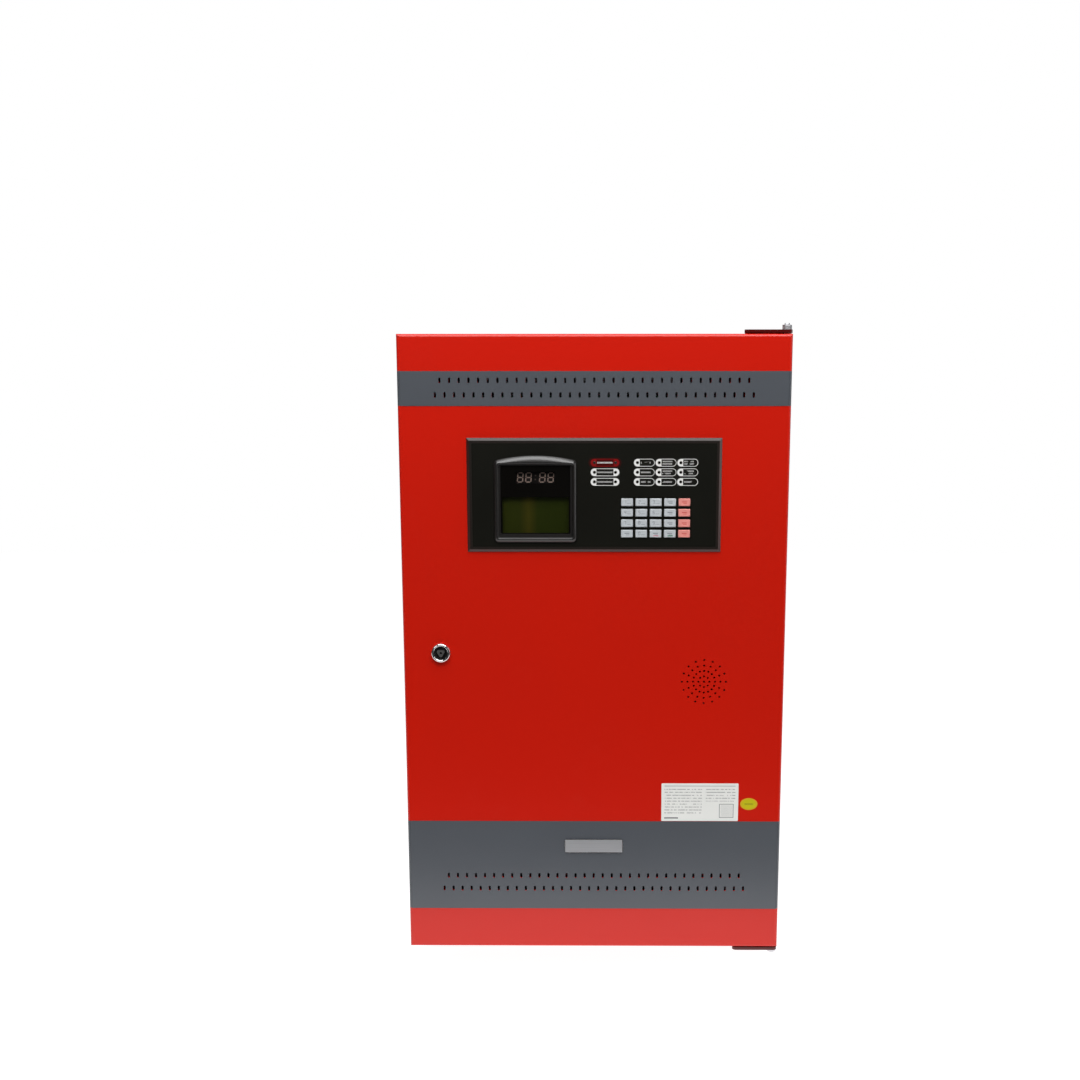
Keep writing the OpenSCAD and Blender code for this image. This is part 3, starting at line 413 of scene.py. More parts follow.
# ======== Chip leads ========
# Rows of tinned legs along both sides of each chip, bent down and out onto the board.
def leg_row(x, z, length, count, side):
    """Middles of count legs evenly spaced over a length beside a chip; side is the way they point."""
    step = (np.arange(count) - (count - 1) / 2) * (length / count)
    return np.stack([np.full(count, x), step + z, np.full(count, side)], axis=1)


def bent_legs(name, rows, board_front, width=0.5):
    """One strip per leg: out from the chip, down and out again, 0.15 mm thick, as whole arrays."""
    profile = np.array([(0, 1.6), (0.9, 1.55), (1.2, 0.2), (2.2, 0.05)])
    inner = profile - (0, 0.04)
    outline = np.concatenate([profile + (0, 0.12), inner[::-1]])
    legs = np.concatenate(rows)
    x = legs[:, None, 0] + legs[:, None, 2] * outline[None, :, 0]
    y = board_front - np.repeat(outline[None, :, 1], len(legs), axis=0)
    z = np.repeat(legs[:, None, 1], len(outline), axis=1)
    near = np.stack([x, y, z - width / 2], axis=-1)
    far = np.stack([x, y, z + width / 2], axis=-1)
    points = np.concatenate([near, far], axis=1)
    count = len(outline)
    ring = np.arange(count)
    after = np.roll(ring, -1)
    sides = np.stack([ring, after, after + count, ring + count], axis=-1).tolist()
    ends = [[3, 2, 5, 4], [2, 1, 6, 5], [1, 0, 7, 6]]
    far_ends = [[corner + count for corner in end[::-1]] for end in ends]
    base = sides + ends + far_ends
    start = np.arange(len(legs)) * 2 * count
    faces = (np.array(base)[None] + start[:, None, None]).reshape(-1, 4)
    mesh = bpy.data.meshes.new(name)
    mesh.from_pydata((points.reshape(-1, 3) * MM).tolist(), [], faces.tolist())
    work = bmesh.new()
    work.from_mesh(mesh)
    bmesh.ops.recalc_face_normals(work, faces=work.faces)
    work.to_mesh(mesh)
    work.free()
    legs_piece = bpy.data.objects.new(name, mesh)
    bpy.context.scene.collection.objects.link(legs_piece)
    return legs_piece


# On the main board a processor, three memories and four drivers; on the loop board a processor and three
# buffers. Each has a row at both sides, so many mm from its middle.
chip_rows = [leg_row(main_x - 18 + side * 14, main_z + 12, 26, 22, side) for side in (-1, 1)]
for memory in range(3):
    chip_rows += [leg_row(main_x + 36 + (memory - 1) * 17 + side * 5, main_z + 18, 20, 12, side)
                  for side in (-1, 1)]
for driver in range(4):
    chip_rows += [leg_row(main_x - 60 + side * 10, main_z + 40 - driver * 18, 8.4, 6, side)
                  for side in (-1, 1)]
chip_rows += [leg_row(loop_x + 20 + side * 12, loop_z + 28, 22, 18, side) for side in (-1, 1)]
for buffer_chip in range(3):
    chip_rows += [leg_row(loop_x - 32 + (buffer_chip - 1) * 15 + side * 4, loop_z + 46, 14, 9, side)
                  for side in (-1, 1)]
chip_legs = bent_legs("chip_legs", chip_rows, main_board.low.y)
tin = plated_steel("tinned_legs", tone(206, 206, 202), tone(172, 172, 168), 0.3)
chip_legs.data.materials.append(tin.material)
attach(chip_legs, "cabinet")


# ======== Terminal blocks ========
# Green moulded blocks in rows of eight ways, each way with a sunk screw and a square wire entry below it.
terminal_finish = Finish("terminal_green")
way_pitch = 5.08
terminal_front = Extent("terminal_blocks").low.y
screw_seen = (terminal_finish.y > terminal_front + 2.4) * (terminal_finish.y < terminal_front + 3.4)
terminal_grain = terminal_finish.noise(900, 2)
way_line = abs((terminal_finish.x - main_x) % way_pitch - way_pitch / 2) > 2.42
terminal_colour = terminal_finish.blend(way_line, tone(22, 128, 72), tone(14, 88, 48))
terminal_finish.show(colour=terminal_finish.blend(screw_seen, terminal_colour, tone(190, 190, 184)),
                     metallic=screw_seen * 0.9, roughness=0.34 + terminal_grain * 0.16,
                     normal=terminal_finish.bump(terminal_grain, 0.02 * MM))
dress(terminal_finish, "terminal_blocks")


# ======== Power supply ========
# A closed case of zinc-plated sheet with louvres. A black tub for the mains rocker, a fuse holder and a
# black terminal strip are snapped into its front.
supply_box = Extent("power_supply")
rocker_middle = Extent("mains_rocker").middle
supply = Finish("power_supply_case")
supply_cloud = supply.noise(30, 4)
supply_lines = supply.streaks((900, 900, 40))
case_front = supply_box.low.y + 12
fuse_x = supply_box.high.x - 30
tub = (abs(supply.x - rocker_middle.x) < 11.4) * (abs(supply.z - rocker_middle.z) < 15)
tub = tub * (supply.y < case_front + 14) * (supply.y > case_front - 2.6)
holder = (abs(supply.x - fuse_x) < 6.8) * (abs(supply.z - rocker_middle.z) < 6.8)
proud = supply.y < case_front - 0.05
holder = holder * proud.most(supply.y > case_front + 2)
strip = proud * (supply.z < supply_box.low.z + 22)
tub_inside = tub * proud.most(supply.y > case_front + 1.3)
moulded = holder.most(strip).most(tub_inside)
strip_pitch = 9.5
way_screw = abs((supply.x - supply_box.low.x - 22) % strip_pitch - strip_pitch / 2) < 2.6
way_screw = way_screw * strip * (abs(supply.z - supply_box.low.z - 14) < 2.6)
case_colour = supply.blend(supply_cloud, tone(198, 200, 203), tone(160, 163, 168))
case_colour = supply.blend(moulded, case_colour, tone(24, 24, 25))
supply.show(colour=supply.blend(way_screw, case_colour, tone(186, 184, 176)),
            metallic=1 - moulded + way_screw * moulded,
            roughness=0.3 + supply_cloud * 0.12 + supply_lines * 0.08,
            normal=supply.bump(supply_lines, 0.015 * MM))
dress(supply, "power_supply")


# ======== Mains rocker ========
# A two-way rocker of red moulded plastic on a short axle, with a white stroke at the end that is pressed in.
rocker_finish = Finish("rocker_red", coat_weight=0.3)
rocker_grain = rocker_finish.noise(800, 2)
stroke_here = abs(rocker_finish.x - rocker_middle.x) < 0.5
stroke_here = stroke_here * (abs(rocker_finish.z - rocker_middle.z - 5) < 2.2)
rocker_finish.show(colour=rocker_finish.blend(stroke_here, tone(150, 14, 12), tone(226, 222, 216)),
                   roughness=0.26 + rocker_grain * 0.12,
                   normal=rocker_finish.bump(rocker_grain, 0.012 * MM))
dress(rocker_finish, "mains_rocker")


# ======== Batteries ========
# Two sealed lead-acid batteries in dark moulded cases with a welded lid, a printed front label of plain
# bars, and tinned tabs. A zinc-plated strap holds both against the back of the box.
def battery_case(name):
    """Dark grained case; a label with a coloured band on its front; bright tabs, the right one in red."""
    size = Extent(name)
    top = size.high.z - 8
    red_x = size.high.x - 14
    case = Finish(name + "_case")
    grain = case.noise(1100, 3)
    scuff = case.noise(18, 4)
    u = case.x - size.middle.x
    v = case.z - size.middle.z - 12
    label = (abs(u) < 52) * (abs(v) < 17) * (case.y < size.low.y + 1)
    band = label * (v > 8)
    lines = label * (abs(v % 4.0 - 2) < 0.5) * (abs(u) < 44) * (v < 6) * (case.noise(50, 0) > 0.4)
    tab = case.z > top + 0.01
    red_ring = (abs(case.x - red_x) < 8) * (case.z > top - 0.5) * (1 - tab)
    seam = abs(case.z - (top - 8)) < 0.35
    colour = case.blend(scuff * 0.4, tone(44, 45, 48), tone(58, 60, 62))
    colour = case.blend(seam, colour, tone(20, 20, 21))
    colour = case.blend(label, colour, tone(206, 208, 206))
    colour = case.blend(band, colour, tone(34, 66, 118))
    colour = case.blend(lines, colour, tone(60, 62, 66))
    colour = case.blend(red_ring, colour, tone(158, 28, 22))
    case.show(colour=case.blend(tab, colour, tone(204, 204, 200)), metallic=tab,
              roughness=0.5 - label * 0.18 + grain * 0.14, normal=case.bump(grain, 0.04 * MM))
    dress(case, name)


battery_case("battery_left")
battery_case("battery_right")


# ======== Cable grommets and door gasket ========
# Black rubber grommets line the three cable holes. A foam strip with a skin runs round the door's lip.
def soft_black(name, base, pale, pore, depth):
    """Black rubber or foam: a matt colour with pores of one size and a faint bloom."""
    rubber = Finish(name, specular_ior_level=0.3)
    pores = rubber.noise(pore, 2)
    bloom = rubber.noise(30, 3)
    return rubber.show(colour=rubber.blend(bloom * 0.6 + pores * 0.2, base, pale),
                       roughness=0.62 + pores * 0.25, normal=rubber.bump(pores, depth))


dress(soft_black("grommet_rubber", tone(24, 24, 25), tone(40, 40, 41), 1500, 0.02 * MM), "cable_grommets")
dress(soft_black("gasket_foam", tone(30, 30, 31), tone(46, 46, 46), 1000, 0.25 * MM), "door_gasket")


# ======== Door and grey bands ========
# The door is one pan of folded steel in the same red coat. A slate-grey satin band surrounds each group of
# vent slots: a film on the flat, and the same grey carried round the folds and the pan's sides.
door_coat = powder_coat("door_powder_coat", coat_red, coat_shade)
band_grey = tone(78, 82, 88)
door = Extent("door_panel")
inset = door.high.x - abs(door_coat.x)
depth = door_coat.y - door.low.y
fold = 3
bare_edge = 3
outer_skin = (inset < 0.5).most(inset + depth < fold + 0.1) * (inset < fold + 0.05)
on_fold = outer_skin * (door_coat.y < door.high.y - bare_edge)


def level_with(name):
    """1 on the door between a band's lower and upper edges, 0 elsewhere."""
    band = Extent(name)
    return (door_coat.z > band.low.z) * (door_coat.z < band.high.z)


grey_fold = on_fold * level_with("upper_band").most(level_with("lower_band"))
door_coat.show(colour=door_coat.blend(grey_fold, door_coat.own_colour, band_grey))
dress(door_coat, "door_panel")

band_film = Finish("grey_band", specular_ior_level=0.55)
band_grain = band_film.noise(2600, 2)
band_cloud = band_film.noise(12, 3)
band_film.show(colour=band_film.blend(band_cloud, band_grey, tone(85, 89, 95)),
               roughness=0.25 + band_grain * 0.08, normal=band_film.bump(band_grain, 0.012 * MM))
dress(band_film, "upper_band", "lower_band")


# ======== Fascia frame ========
# One black ABS moulding with a bevelled rim, snapped into the door. Its surface has a fine spark grain.
frame_finish = Finish("fascia_abs", specular_ior_level=0.65, coat_weight=0.35, coat_roughness=0.12)
frame_grain = frame_finish.noise(2400, 2)
frame_cloud = frame_finish.noise(20, 3)
frame_finish.show(colour=frame_finish.blend(frame_cloud, tone(27, 19, 15), tone(33, 26, 22)),
                  roughness=0.26 + frame_grain * 0.1, normal=frame_finish.bump(frame_grain, 0.02 * MM))
dress(frame_finish, "fascia_frame")


# ======== Fascia overlay ========
# A black film printed with the lamp legends: three wide pills with a lamp at each end on the left, and a
# block of three by three pills with one lamp each on the right. Their words are plain bars.
overlay = Finish("fascia_print", specular_ior_level=0.3)
lamp_radius = 1.3
row_pitch = 9.25
row_top = Extent("indicator_leds").high.z - lamp_radius
row_phase = row_top + row_pitch / 2
row_v = (overlay.z - row_phase) % row_pitch - row_pitch / 2
rows_here = (overlay.z < row_phase) * (overlay.z > row_phase - 3 * row_pitch)
fire_row = overlay.z > row_top - row_pitch / 2


def pill_edge(u, half, radius):
    """How far outside a pill a point lies: its distance to the line between the ends, less the radius."""
    over = (abs(u) - (half - radius)).most(0)
    return over.distance(row_v) - radius


lamp_left = 0.3
lamp_right = 20.8
wide_u = overlay.x - (lamp_left + lamp_right) / 2
wide_near = (abs(wide_u) < 16) * rows_here
wide_edge = pill_edge(wide_u, 13.9, 3.7)
wide_in = (wide_edge < 0) * wide_near
wide_rim = wide_in * (wide_edge > -0.55)
wide_cap = wide_in * (abs(wide_u) > 8.3)
lamp_gap = abs(wide_u) - (lamp_right - lamp_left) / 2
wide_cap = wide_cap * (lamp_gap.distance(row_v) > 1.5)
glow_edge = pill_edge(wide_u, 16, 5.2)

narrow_first = 48.6
narrow_pitch = 21.05
narrow_u = (overlay.x - narrow_first + narrow_pitch / 2) % narrow_pitch - narrow_pitch / 2
narrow_near = (overlay.x > narrow_first - 10.4) * (overlay.x < narrow_first + 2 * narrow_pitch + 10.4)
narrow_near = narrow_near * rows_here
narrow_edge = pill_edge(narrow_u, 10.1, 3.7)
narrow_in = (narrow_edge < 0) * narrow_near
narrow_rim = narrow_in * (narrow_edge > -0.5)
narrow_cap = narrow_in * (narrow_u < -4.4) * ((narrow_u + 6.6).distance(row_v) > 1.5)

stroke = (overlay.x * 0.83 + (overlay.z / 1.7).floor() * 0.37) % 1.0 > 0.34
word_run = overlay.noise(210, 0) > 0.36
line_pair = abs(abs(row_v) - 1.15) < 0.62
line_one = abs(row_v) < 0.75
two_lines = (overlay.x > narrow_first + 10.5) * (overlay.z > row_top - 1.5 * row_pitch)
narrow_line = line_pair * two_lines + line_one * (1 - two_lines)
narrow_word = narrow_in * narrow_line * stroke * word_run * (narrow_u > -3.4) * (narrow_u < 6.0)
wide_word = wide_in * line_one * stroke * (abs(wide_u) < 7.4)

white_print = wide_rim.most(wide_cap) * (1 - fire_row)
white_print = white_print.most(narrow_rim).most(narrow_cap)
faint_print = narrow_word.most(wide_word * (1 + fire_row * 0.25))
fire_pill = wide_near * fire_row
fire_soft = fire_pill * (glow_edge < 0) * 0.45
fire_solid = fire_pill * (wide_edge < -0.2)
overlay_grain = overlay.noise(2600, 1)
overlay_cloud = overlay.noise(16, 3)
overlay_colour = overlay.blend(overlay_cloud, tone(15, 14, 10), tone(23, 23, 18))
overlay_colour = overlay.blend(fire_soft, overlay_colour, tone(64, 6, 6))
overlay_colour = overlay.blend(fire_solid, overlay_colour, tone(70, 6, 6))
overlay_colour = overlay.blend(fire_pill * wide_rim.most(wide_cap) * 0.7, overlay_colour, tone(150, 20, 22))
overlay_colour = overlay.blend(faint_print * 0.8, overlay_colour, tone(216, 216, 214))
overlay_colour = overlay.blend(white_print, overlay_colour, tone(232, 232, 230))
overlay.show(colour=overlay_colour, roughness=0.28 + overlay_grain * 0.08,
             normal=overlay.bump(overlay_grain, 0.008 * MM))
dress(overlay, "fascia_overlay")


# ======== Display bezel ========
# A glossy black moulding stuck over the display opening. Its rim is a rounded bead; above the window it
# widens into a convex brow that falls back to the film along a shallow arch.
bezel = Extent("display_bezel")
window = Extent("display_window")
bezel_arch = 4.8
bezel_side = bezel.half.z * 2 - bezel_arch
film_y = window.low.y
rim_y = bezel.low.y
pane_lap = 1.5
window_half = window.half.x - pane_lap
window_foot = window.low.z + pane_lap - bezel.low.z
window_head = window.high.z - pane_lap - bezel.low.z


def arched_outline(half, foot, side, rise, corner):
    """Closed outline, (point, x and z): a straight foot, straight sides, an arched top and round corners.
    The top is the arc through the rise; each upper corner is an arc that touches it and the side."""
    top_r = (half ** 2 + rise ** 2) / (2 * rise)
    centre_z = side + rise - top_r
    corner_z = centre_z + np.sqrt((top_r - corner) ** 2 - (half - corner) ** 2)
    lean = np.arccos((half - corner) / (top_r - corner))

    def arc(x, z, radius, start, end, count):
        angle = np.linspace(start, end, count)
        return np.stack([x + radius * np.cos(angle), z + radius * np.sin(angle)], axis=-1)

    def line(start, end, count):
        share = np.linspace(0, 1, count + 2)[1:-1, None]
        return np.array(start) * (1 - share) + np.array(end) * share

    return np.concatenate([
        arc(half - corner, foot + corner, corner, -np.pi / 2, 0, 9),
        line((half, foot + corner), (half, corner_z), 14),
        arc(half - corner, corner_z, corner, 0, lean, 9),
        arc(0, centre_z, top_r, lean, np.pi - lean, 34)[1:-1],
        arc(-half + corner, corner_z, corner, np.pi - lean, np.pi, 9),
        line((-half, corner_z), (-half, foot + corner), 14),
        arc(-half + corner, foot + corner, corner, np.pi, 1.5 * np.pi, 9),
        line((-half + corner, foot), (half - corner, foot), 24)])


def closed_surface(name, lines, crease, ring=False):
    """Mesh of closed lines of equal count, (line, point, xyz) in mm: four neighbours make one face. A line
    shrunk to a point closes as a pole; ring joins last line to first; folds past crease degrees are crisp."""
    count = lines.shape[1]
    here = np.arange(lines.shape[0] * count).reshape(lines.shape[0], count)
    ahead = np.roll(here, -1, axis=1)
    faces = np.stack([here, ahead, np.roll(ahead, -1, axis=0), np.roll(here, -1, axis=0)], axis=-1)
    faces = faces if ring else faces[:-1]
    mesh = bpy.data.meshes.new(name)
    mesh.from_pydata((lines.reshape(-1, 3) * MM).tolist(), [], faces.reshape(-1, 4).tolist())
    work = bmesh.new()
    work.from_mesh(mesh)
    bmesh.ops.remove_doubles(work, verts=work.verts, dist=2e-6)
    bmesh.ops.recalc_face_normals(work, faces=work.faces)
    work.to_mesh(mesh)
    work.free()
    mesh.polygons.foreach_set("use_smooth", np.ones(len(mesh.polygons), bool))
    mesh.set_sharp_from_angle(angle=radians(crease))
    piece = bpy.data.objects.new(name, mesh)
    bpy.context.scene.collection.objects.link(piece)
    return piece


def lifted(outline, x, z, y):
    """An outline (x and z) placed at x, z with its depth y, which may differ along it."""
    return np.stack([outline[:, 0] + x, np.broadcast_to(y, len(outline)), outline[:, 1] + z], axis=-1)


def round_window(beside, below, above, rise, corner):
    """An arched outline that clears the window by so much at its sides, its foot and its head."""
    return arched_outline(window_half + beside, window_foot - below, window_head + above, rise, corner)


outer = arched_outline(bezel.half.x, 0, bezel_side, bezel_arch, 4.5)
edge = arched_outline(bezel.half.x - 0.25, 0.25, bezel_side - 0.25, bezel_arch, 4.3)
crest = round_window(3.6, 5.2, 2.4, 0.7, 2.6)
inner_rim = round_window(2.6, 4.2, 1.7, 0.6, 2.2)
inner_foot = round_window(1.8, 3.5, 1.1, 0.4, 1.9)
opening = round_window(0, 0, 0, 0.2, 1.2)
bezel_lines = [(outer, film_y), (outer, film_y - 0.5)]
edge_y = film_y - 0.9
bulge = 0.45
for turn in np.linspace(0, np.pi / 2, 9):
    straight = (1 - bulge) * turn / (np.pi / 2)
    spread = straight + bulge * (1 - np.cos(turn))
    rise = straight + bulge * np.sin(turn)
    bezel_lines.append((edge * (1 - spread) + crest * spread, edge_y + (rim_y - edge_y) * rise))
for turn in np.linspace(0, np.pi / 2, 5)[1:]:
    bezel_lines.append((crest + (inner_rim - crest) * np.sin(turn), rim_y + 0.8 * (1 - np.cos(turn))))
bezel_lines += [(inner_foot, film_y - 1.3), (opening, edge_y), (opening, film_y - 0.02)]
bezel_lines = np.stack([lifted(line, bezel.middle.x, bezel.low.z, y) for line, y in bezel_lines])
bezel_piece = closed_surface("bezel_moulding", bezel_lines, ring=True, crease=40)
bezel_finish = Finish("bezel_gloss", specular_ior_level=0.6, coat_weight=0.25)
bezel_grain = bezel_finish.noise(1500, 2)
bezel_cloud = bezel_finish.noise(24, 3)
bezel_finish.show(colour=bezel_finish.blend(bezel_cloud, tone(22, 20, 19), tone(30, 28, 27)),
                  roughness=0.24 + bezel_grain * 0.1, normal=bezel_finish.bump(bezel_grain, 0.01 * MM))
bezel_piece.data.materials.append(bezel_finish.material)
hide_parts("display_bezel")
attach(bezel_piece, "door")


# ======== Display window ========
# An acrylic pane with a grey tint, held behind the bezel. Its back is printed black except in front of the
# two displays. Faint dust and wipe marks lie on it.
window_finish = Finish("window_acrylic", specular_ior_level=0.25)
dust = window_finish.streaks((30, 30, 9), 4)


def aperture(name, edge):
    """1 in front of a display module, in from its sides by an edge in mm."""
    module = Extent(name)
    across = abs(window_finish.x - module.middle.x) < module.half.x - edge
    return across * (abs(window_finish.z - module.middle.z) < module.half.z - edge)


seen_through = aperture("lcd_module", 3.4).most(aperture("clock_display", 1.6))
window_finish.show(colour=window_finish.blend(dust, tone(6, 5, 4), tone(13, 12, 10)),
                   roughness=0.05 + dust * 0.07, alpha=1 - seen_through * (0.84 - dust * 0.05))
dress(window_finish, "display_window")


# ======== Character display ========
# Unlit liquid-crystal glass, dark olive, in a black frame fixed behind the window. Its cells show as a
# faint grid, and light from the front lies on it as a soft upright stripe.
lcd_box = Extent("lcd_module")
lcd = Finish("lcd_glass", specular_ior_level=0.4)
lcd_u = lcd.x - lcd_box.middle.x
lcd_v = lcd.z - lcd_box.middle.z
in_glass = (abs(lcd_u) < 32.5) * (abs(lcd_v) < 17.5) * (lcd.y > lcd_box.low.y + 0.3)
cell_line = (lcd.x % 1.9 < 0.35).most(lcd.z % 3.6 < 0.4)
bright_side = ((lcd_u + 10) * -0.07 + 1).least(1).most(0)
shine = (1 - abs(lcd_u + 7) / 8).most(0)
glass_cloud = lcd.noise(22, 2)
lcd_colour = lcd.blend(glass_cloud, tone(46, 58, 3), tone(52, 62, 5))
lcd_colour = lcd.blend(shine * 0.6 + bright_side * 0.1, lcd_colour, tone(94, 84, 20))
lcd_colour = lcd.blend(cell_line * 0.22, lcd_colour, tone(30, 34, 6))
lcd.show(colour=lcd.blend(in_glass, tone(14, 13, 12), lcd_colour), roughness=0.3 + glass_cloud * 0.08,
         normal=lcd.bump(cell_line * in_glass, 0.01 * MM))
dress(lcd, "lcd_module")


# ======== Clock display ========
# Four seven-bar digits and a colon behind a smoked face. Unlit, the bars show greyish pink, all of them.
clock_middle = Extent("clock_display").middle
clock = Finish("clock_face", specular_ior_level=0.4)
digit_pitch = 8.1
pair_gap = 5.4
digit_slant = 0.08
upright = clock.z - clock_middle.z
across = clock.x - clock_middle.x - upright * digit_slant
past_gap = abs(across) - pair_gap / 2
digit_u = past_gap % digit_pitch - digit_pitch / 2
in_pairs = (past_gap > 0) * (past_gap < 2 * digit_pitch)
level_bars = (abs(digit_u) < 1.9) * (abs(abs(upright) - 4.4) < 0.5).most(abs(upright) < 0.5)
side_bars = (abs(abs(digit_u) - 2.55) < 0.5) * (abs(abs(upright) - 2.2) < 1.75)
colon = (abs(across) < 0.6) * (abs(abs(upright) - 1.9) < 0.6)
lit = (level_bars.most(side_bars) * in_pairs).most(colon * 0.3)
clock_cloud = clock.noise(160, 2)
segment = clock.blend(clock_cloud, tone(206, 178, 164), tone(226, 202, 188))
clock.show(colour=clock.blend(lit, tone(16, 12, 11), segment), roughness=0.32 + clock_cloud * 0.1,
           normal=clock.bump(lit, 0.02 * MM))
dress(clock, "clock_display")


# ======== Lamps ========
# Fifteen smoked lamp lenses, unlit, that stand a hair proud of the film.
lens = Finish("lamp_lens", coat_weight=0.6, specular_ior_level=0.6)
lens_cloud = lens.noise(400, 2)
lens.show(colour=lens.blend(lens_cloud, tone(20, 18, 15), tone(48, 42, 34)),
          roughness=0.14 + lens_cloud * 0.1, normal=lens.bump(lens_cloud, 0.03 * MM))
dress(lens, "indicator_leds")


# ======== Keys ========
# Twenty moulded caps on the rubber mat: rounded edges, a shallow dish in the face and a flange behind the
# film. Numbers and plain signs are printed on them; the fifth column is salmon red.
def rounded_outline(half_x, half_z, corner, per_corner=7, per_side=6):
    """Closed rounded rectangle, (point, x and z): four quarter circles joined by straight runs."""
    points = []
    for quarter, (side_x, side_z) in enumerate(((1, 1), (-1, 1), (-1, -1), (1, -1))):
        angle = np.linspace(quarter * np.pi / 2, (quarter + 1) * np.pi / 2, per_corner)
        centre = np.array([side_x * (half_x - corner), side_z * (half_z - corner)])
        points.append(centre + corner * np.stack([np.cos(angle), np.sin(angle)], axis=-1))
    joined = []
    for quarter in range(4):
        start = points[quarter][-1]
        end = points[(quarter + 1) % 4][0]
        share = np.linspace(0, 1, per_side + 2)[1:-1, None]
        joined += [points[quarter], start * (1 - share) + end * share]
    return np.concatenate(joined)


def keycap_surface(name, key):
    """Lines from the back's middle out round the flange, up the cap's slightly leaning side, over its round
    edge and in to the middle of its face, which dips as one minus the squared distance out."""
    flange_out = 0.75
    edge_r = 0.75
    dip = 0.22
    half_x = key.half.x - flange_out
    half_z = key.half.z - flange_out
    front = key.low.y
    back = key.high.y
    flange_front = back - 1
    flange = rounded_outline(key.half.x, key.half.z, 0.5)
    foot = rounded_outline(half_x, half_z, 0.6)
    lines = [(flange * 0, back), (flange, back), (flange, flange_front), (foot, flange_front)]
    for turn in np.linspace(0, np.pi / 2, 6):
        drawn_in = 0.12 + edge_r * (1 - np.cos(turn))
        shape = rounded_outline(half_x - drawn_in, half_z - drawn_in, 0.6 + drawn_in * 0.6)
        lines.append((shape, front + edge_r - edge_r * np.sin(turn)))
    face = lines[-1][0]
    for share in (0.85, 0.65, 0.4, 0.15, 0.0):
        lines.append((face * share, front + dip * (1 - share ** 2)))
    placed = [lifted(line, key.middle.x, key.middle.z, y) for line, y in lines]
    return closed_surface(name, np.stack(placed), crease=50)


SEGMENTS = {0: "abcdef", 1: "bc", 2: "abged", 3: "abgcd", 4: "fgbc", 5: "afgcd", 6: "afgedc", 7: "abc",
            8: "abcdefg", 9: "abfgcd"}


def keycap_finish(name, key, number, base, ink, mark):
    """Moulded cap colour with its print: a number from straight bars and a short line, or a plain sign."""
    cap = Finish(name, specular_ior_level=0.45)
    grain = cap.noise(1800, 2)
    u = cap.x - key.middle.x
    v = cap.z - key.middle.z
    on_face = cap.y < key.low.y + 0.6

    def dash(middle_u, middle_v, half_u, half_v):
        return (abs(u - middle_u) < half_u) * (abs(v - middle_v) < half_v)

    if number is None:
        sign = dash(0, 0.4, 2.4, 0.4).most(dash(0.6, -1.1, 1.7, 0.28))
    else:
        places = {"a": (0, 1.55, 0.62, 0.2), "b": (0.72, 0.8, 0.2, 0.62), "c": (0.72, -0.8, 0.2, 0.62),
                  "d": (0, -1.55, 0.62, 0.2), "e": (-0.72, -0.8, 0.2, 0.62), "f": (-0.72, 0.8, 0.2, 0.62),
                  "g": (0, 0, 0.62, 0.2)}
        sign = dash(1.7, -1.0, 1.9, 0.3) * ((cap.x * 1.6) % 1.0 > 0.3)
        for letter in SEGMENTS[number]:
            middle_u, middle_v, half_u, half_v = places[letter]
            sign = sign.most(dash(middle_u - 1.9, middle_v + 0.35, half_u, half_v))
    edge_wear = cap.noise(300, 2)
    colour = cap.blend(edge_wear * 0.5, base, tuple(level * 0.86 for level in base[:3]) + (1,))
    if mark:
        colour = cap.blend(dash(0.4, -1.9, 2.6, 0.55) * on_face * 0.8, colour, mark)
    colour = cap.blend(sign * on_face * 0.75, colour, ink)
    return cap.show(colour=colour, roughness=0.4 + grain * 0.14, normal=cap.bump(grain, 0.02 * MM))


key_numbers = {(row, col): (row - 1) * 3 + col for row in (1, 2, 3) for col in (1, 2, 3)}
key_numbers[(4, 2)] = 0
key_marks = {(4, 4): tone(40, 120, 84), (4, 3): tone(206, 132, 150)}
for row in range(1, 5):
    for col in range(1, 6):
        key_name = f"key_r{row}c{col}"
        key_box = Extent(key_name)
        cap_piece = keycap_surface(f"cap_r{row}c{col}", key_box)
        red_key = col == 5
        key_base = tone(238, 150, 141) if red_key else tone(196, 201, 205)
        key_ink = tone(196, 44, 44) if red_key else tone(96, 102, 112)
        cap_finish = keycap_finish(f"cap_print_r{row}c{col}", key_box, key_numbers.get((row, col)),
                                   key_base, key_ink, key_marks.get((row, col)))
        cap_piece.data.materials.append(cap_finish.material)
        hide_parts(key_name)
        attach(cap_piece, key_name)

mat_finish = Finish("keypad_rubber", specular_ior_level=0.3)
mat_grain = mat_finish.noise(1300, 2)
mat_finish.show(colour=mat_finish.blend(mat_grain, tone(120, 122, 124), tone(134, 136, 138)),
                roughness=0.6 + mat_grain * 0.2, normal=mat_finish.bump(mat_grain, 0.02 * MM))
dress(mat_finish, "keypad_membrane")


# ======== Sounder ========
# A black pressed-steel frame and magnet, with a ribbed paper cone whose front shows through the holes.
speaker = Extent("speaker")
speaker_metal = Finish("speaker_frame", specular_ior_level=0.5)
speaker_grain = speaker_metal.noise(700, 3)
magnet = speaker_metal.y > speaker.low.y + 10.05
speaker_colour = speaker_metal.blend(speaker_grain * 0.4, tone(26, 26, 27), tone(44, 44, 45))
speaker_metal.show(colour=speaker_metal.blend(magnet, speaker_colour, tone(60, 61, 63)),
                   roughness=0.4 + speaker_grain * 0.2, normal=speaker_metal.bump(speaker_grain, 0.05 * MM))
dress(speaker_metal, "speaker")
cone = Finish("speaker_paper", specular_ior_level=0.2)
cone_ring = (cone.x - speaker.middle.x).distance(cone.z - speaker.middle.z)
cone_rib = cone.math("SINE", cone_ring * 3.1)
cone_fibre = cone.noise(500, 4)
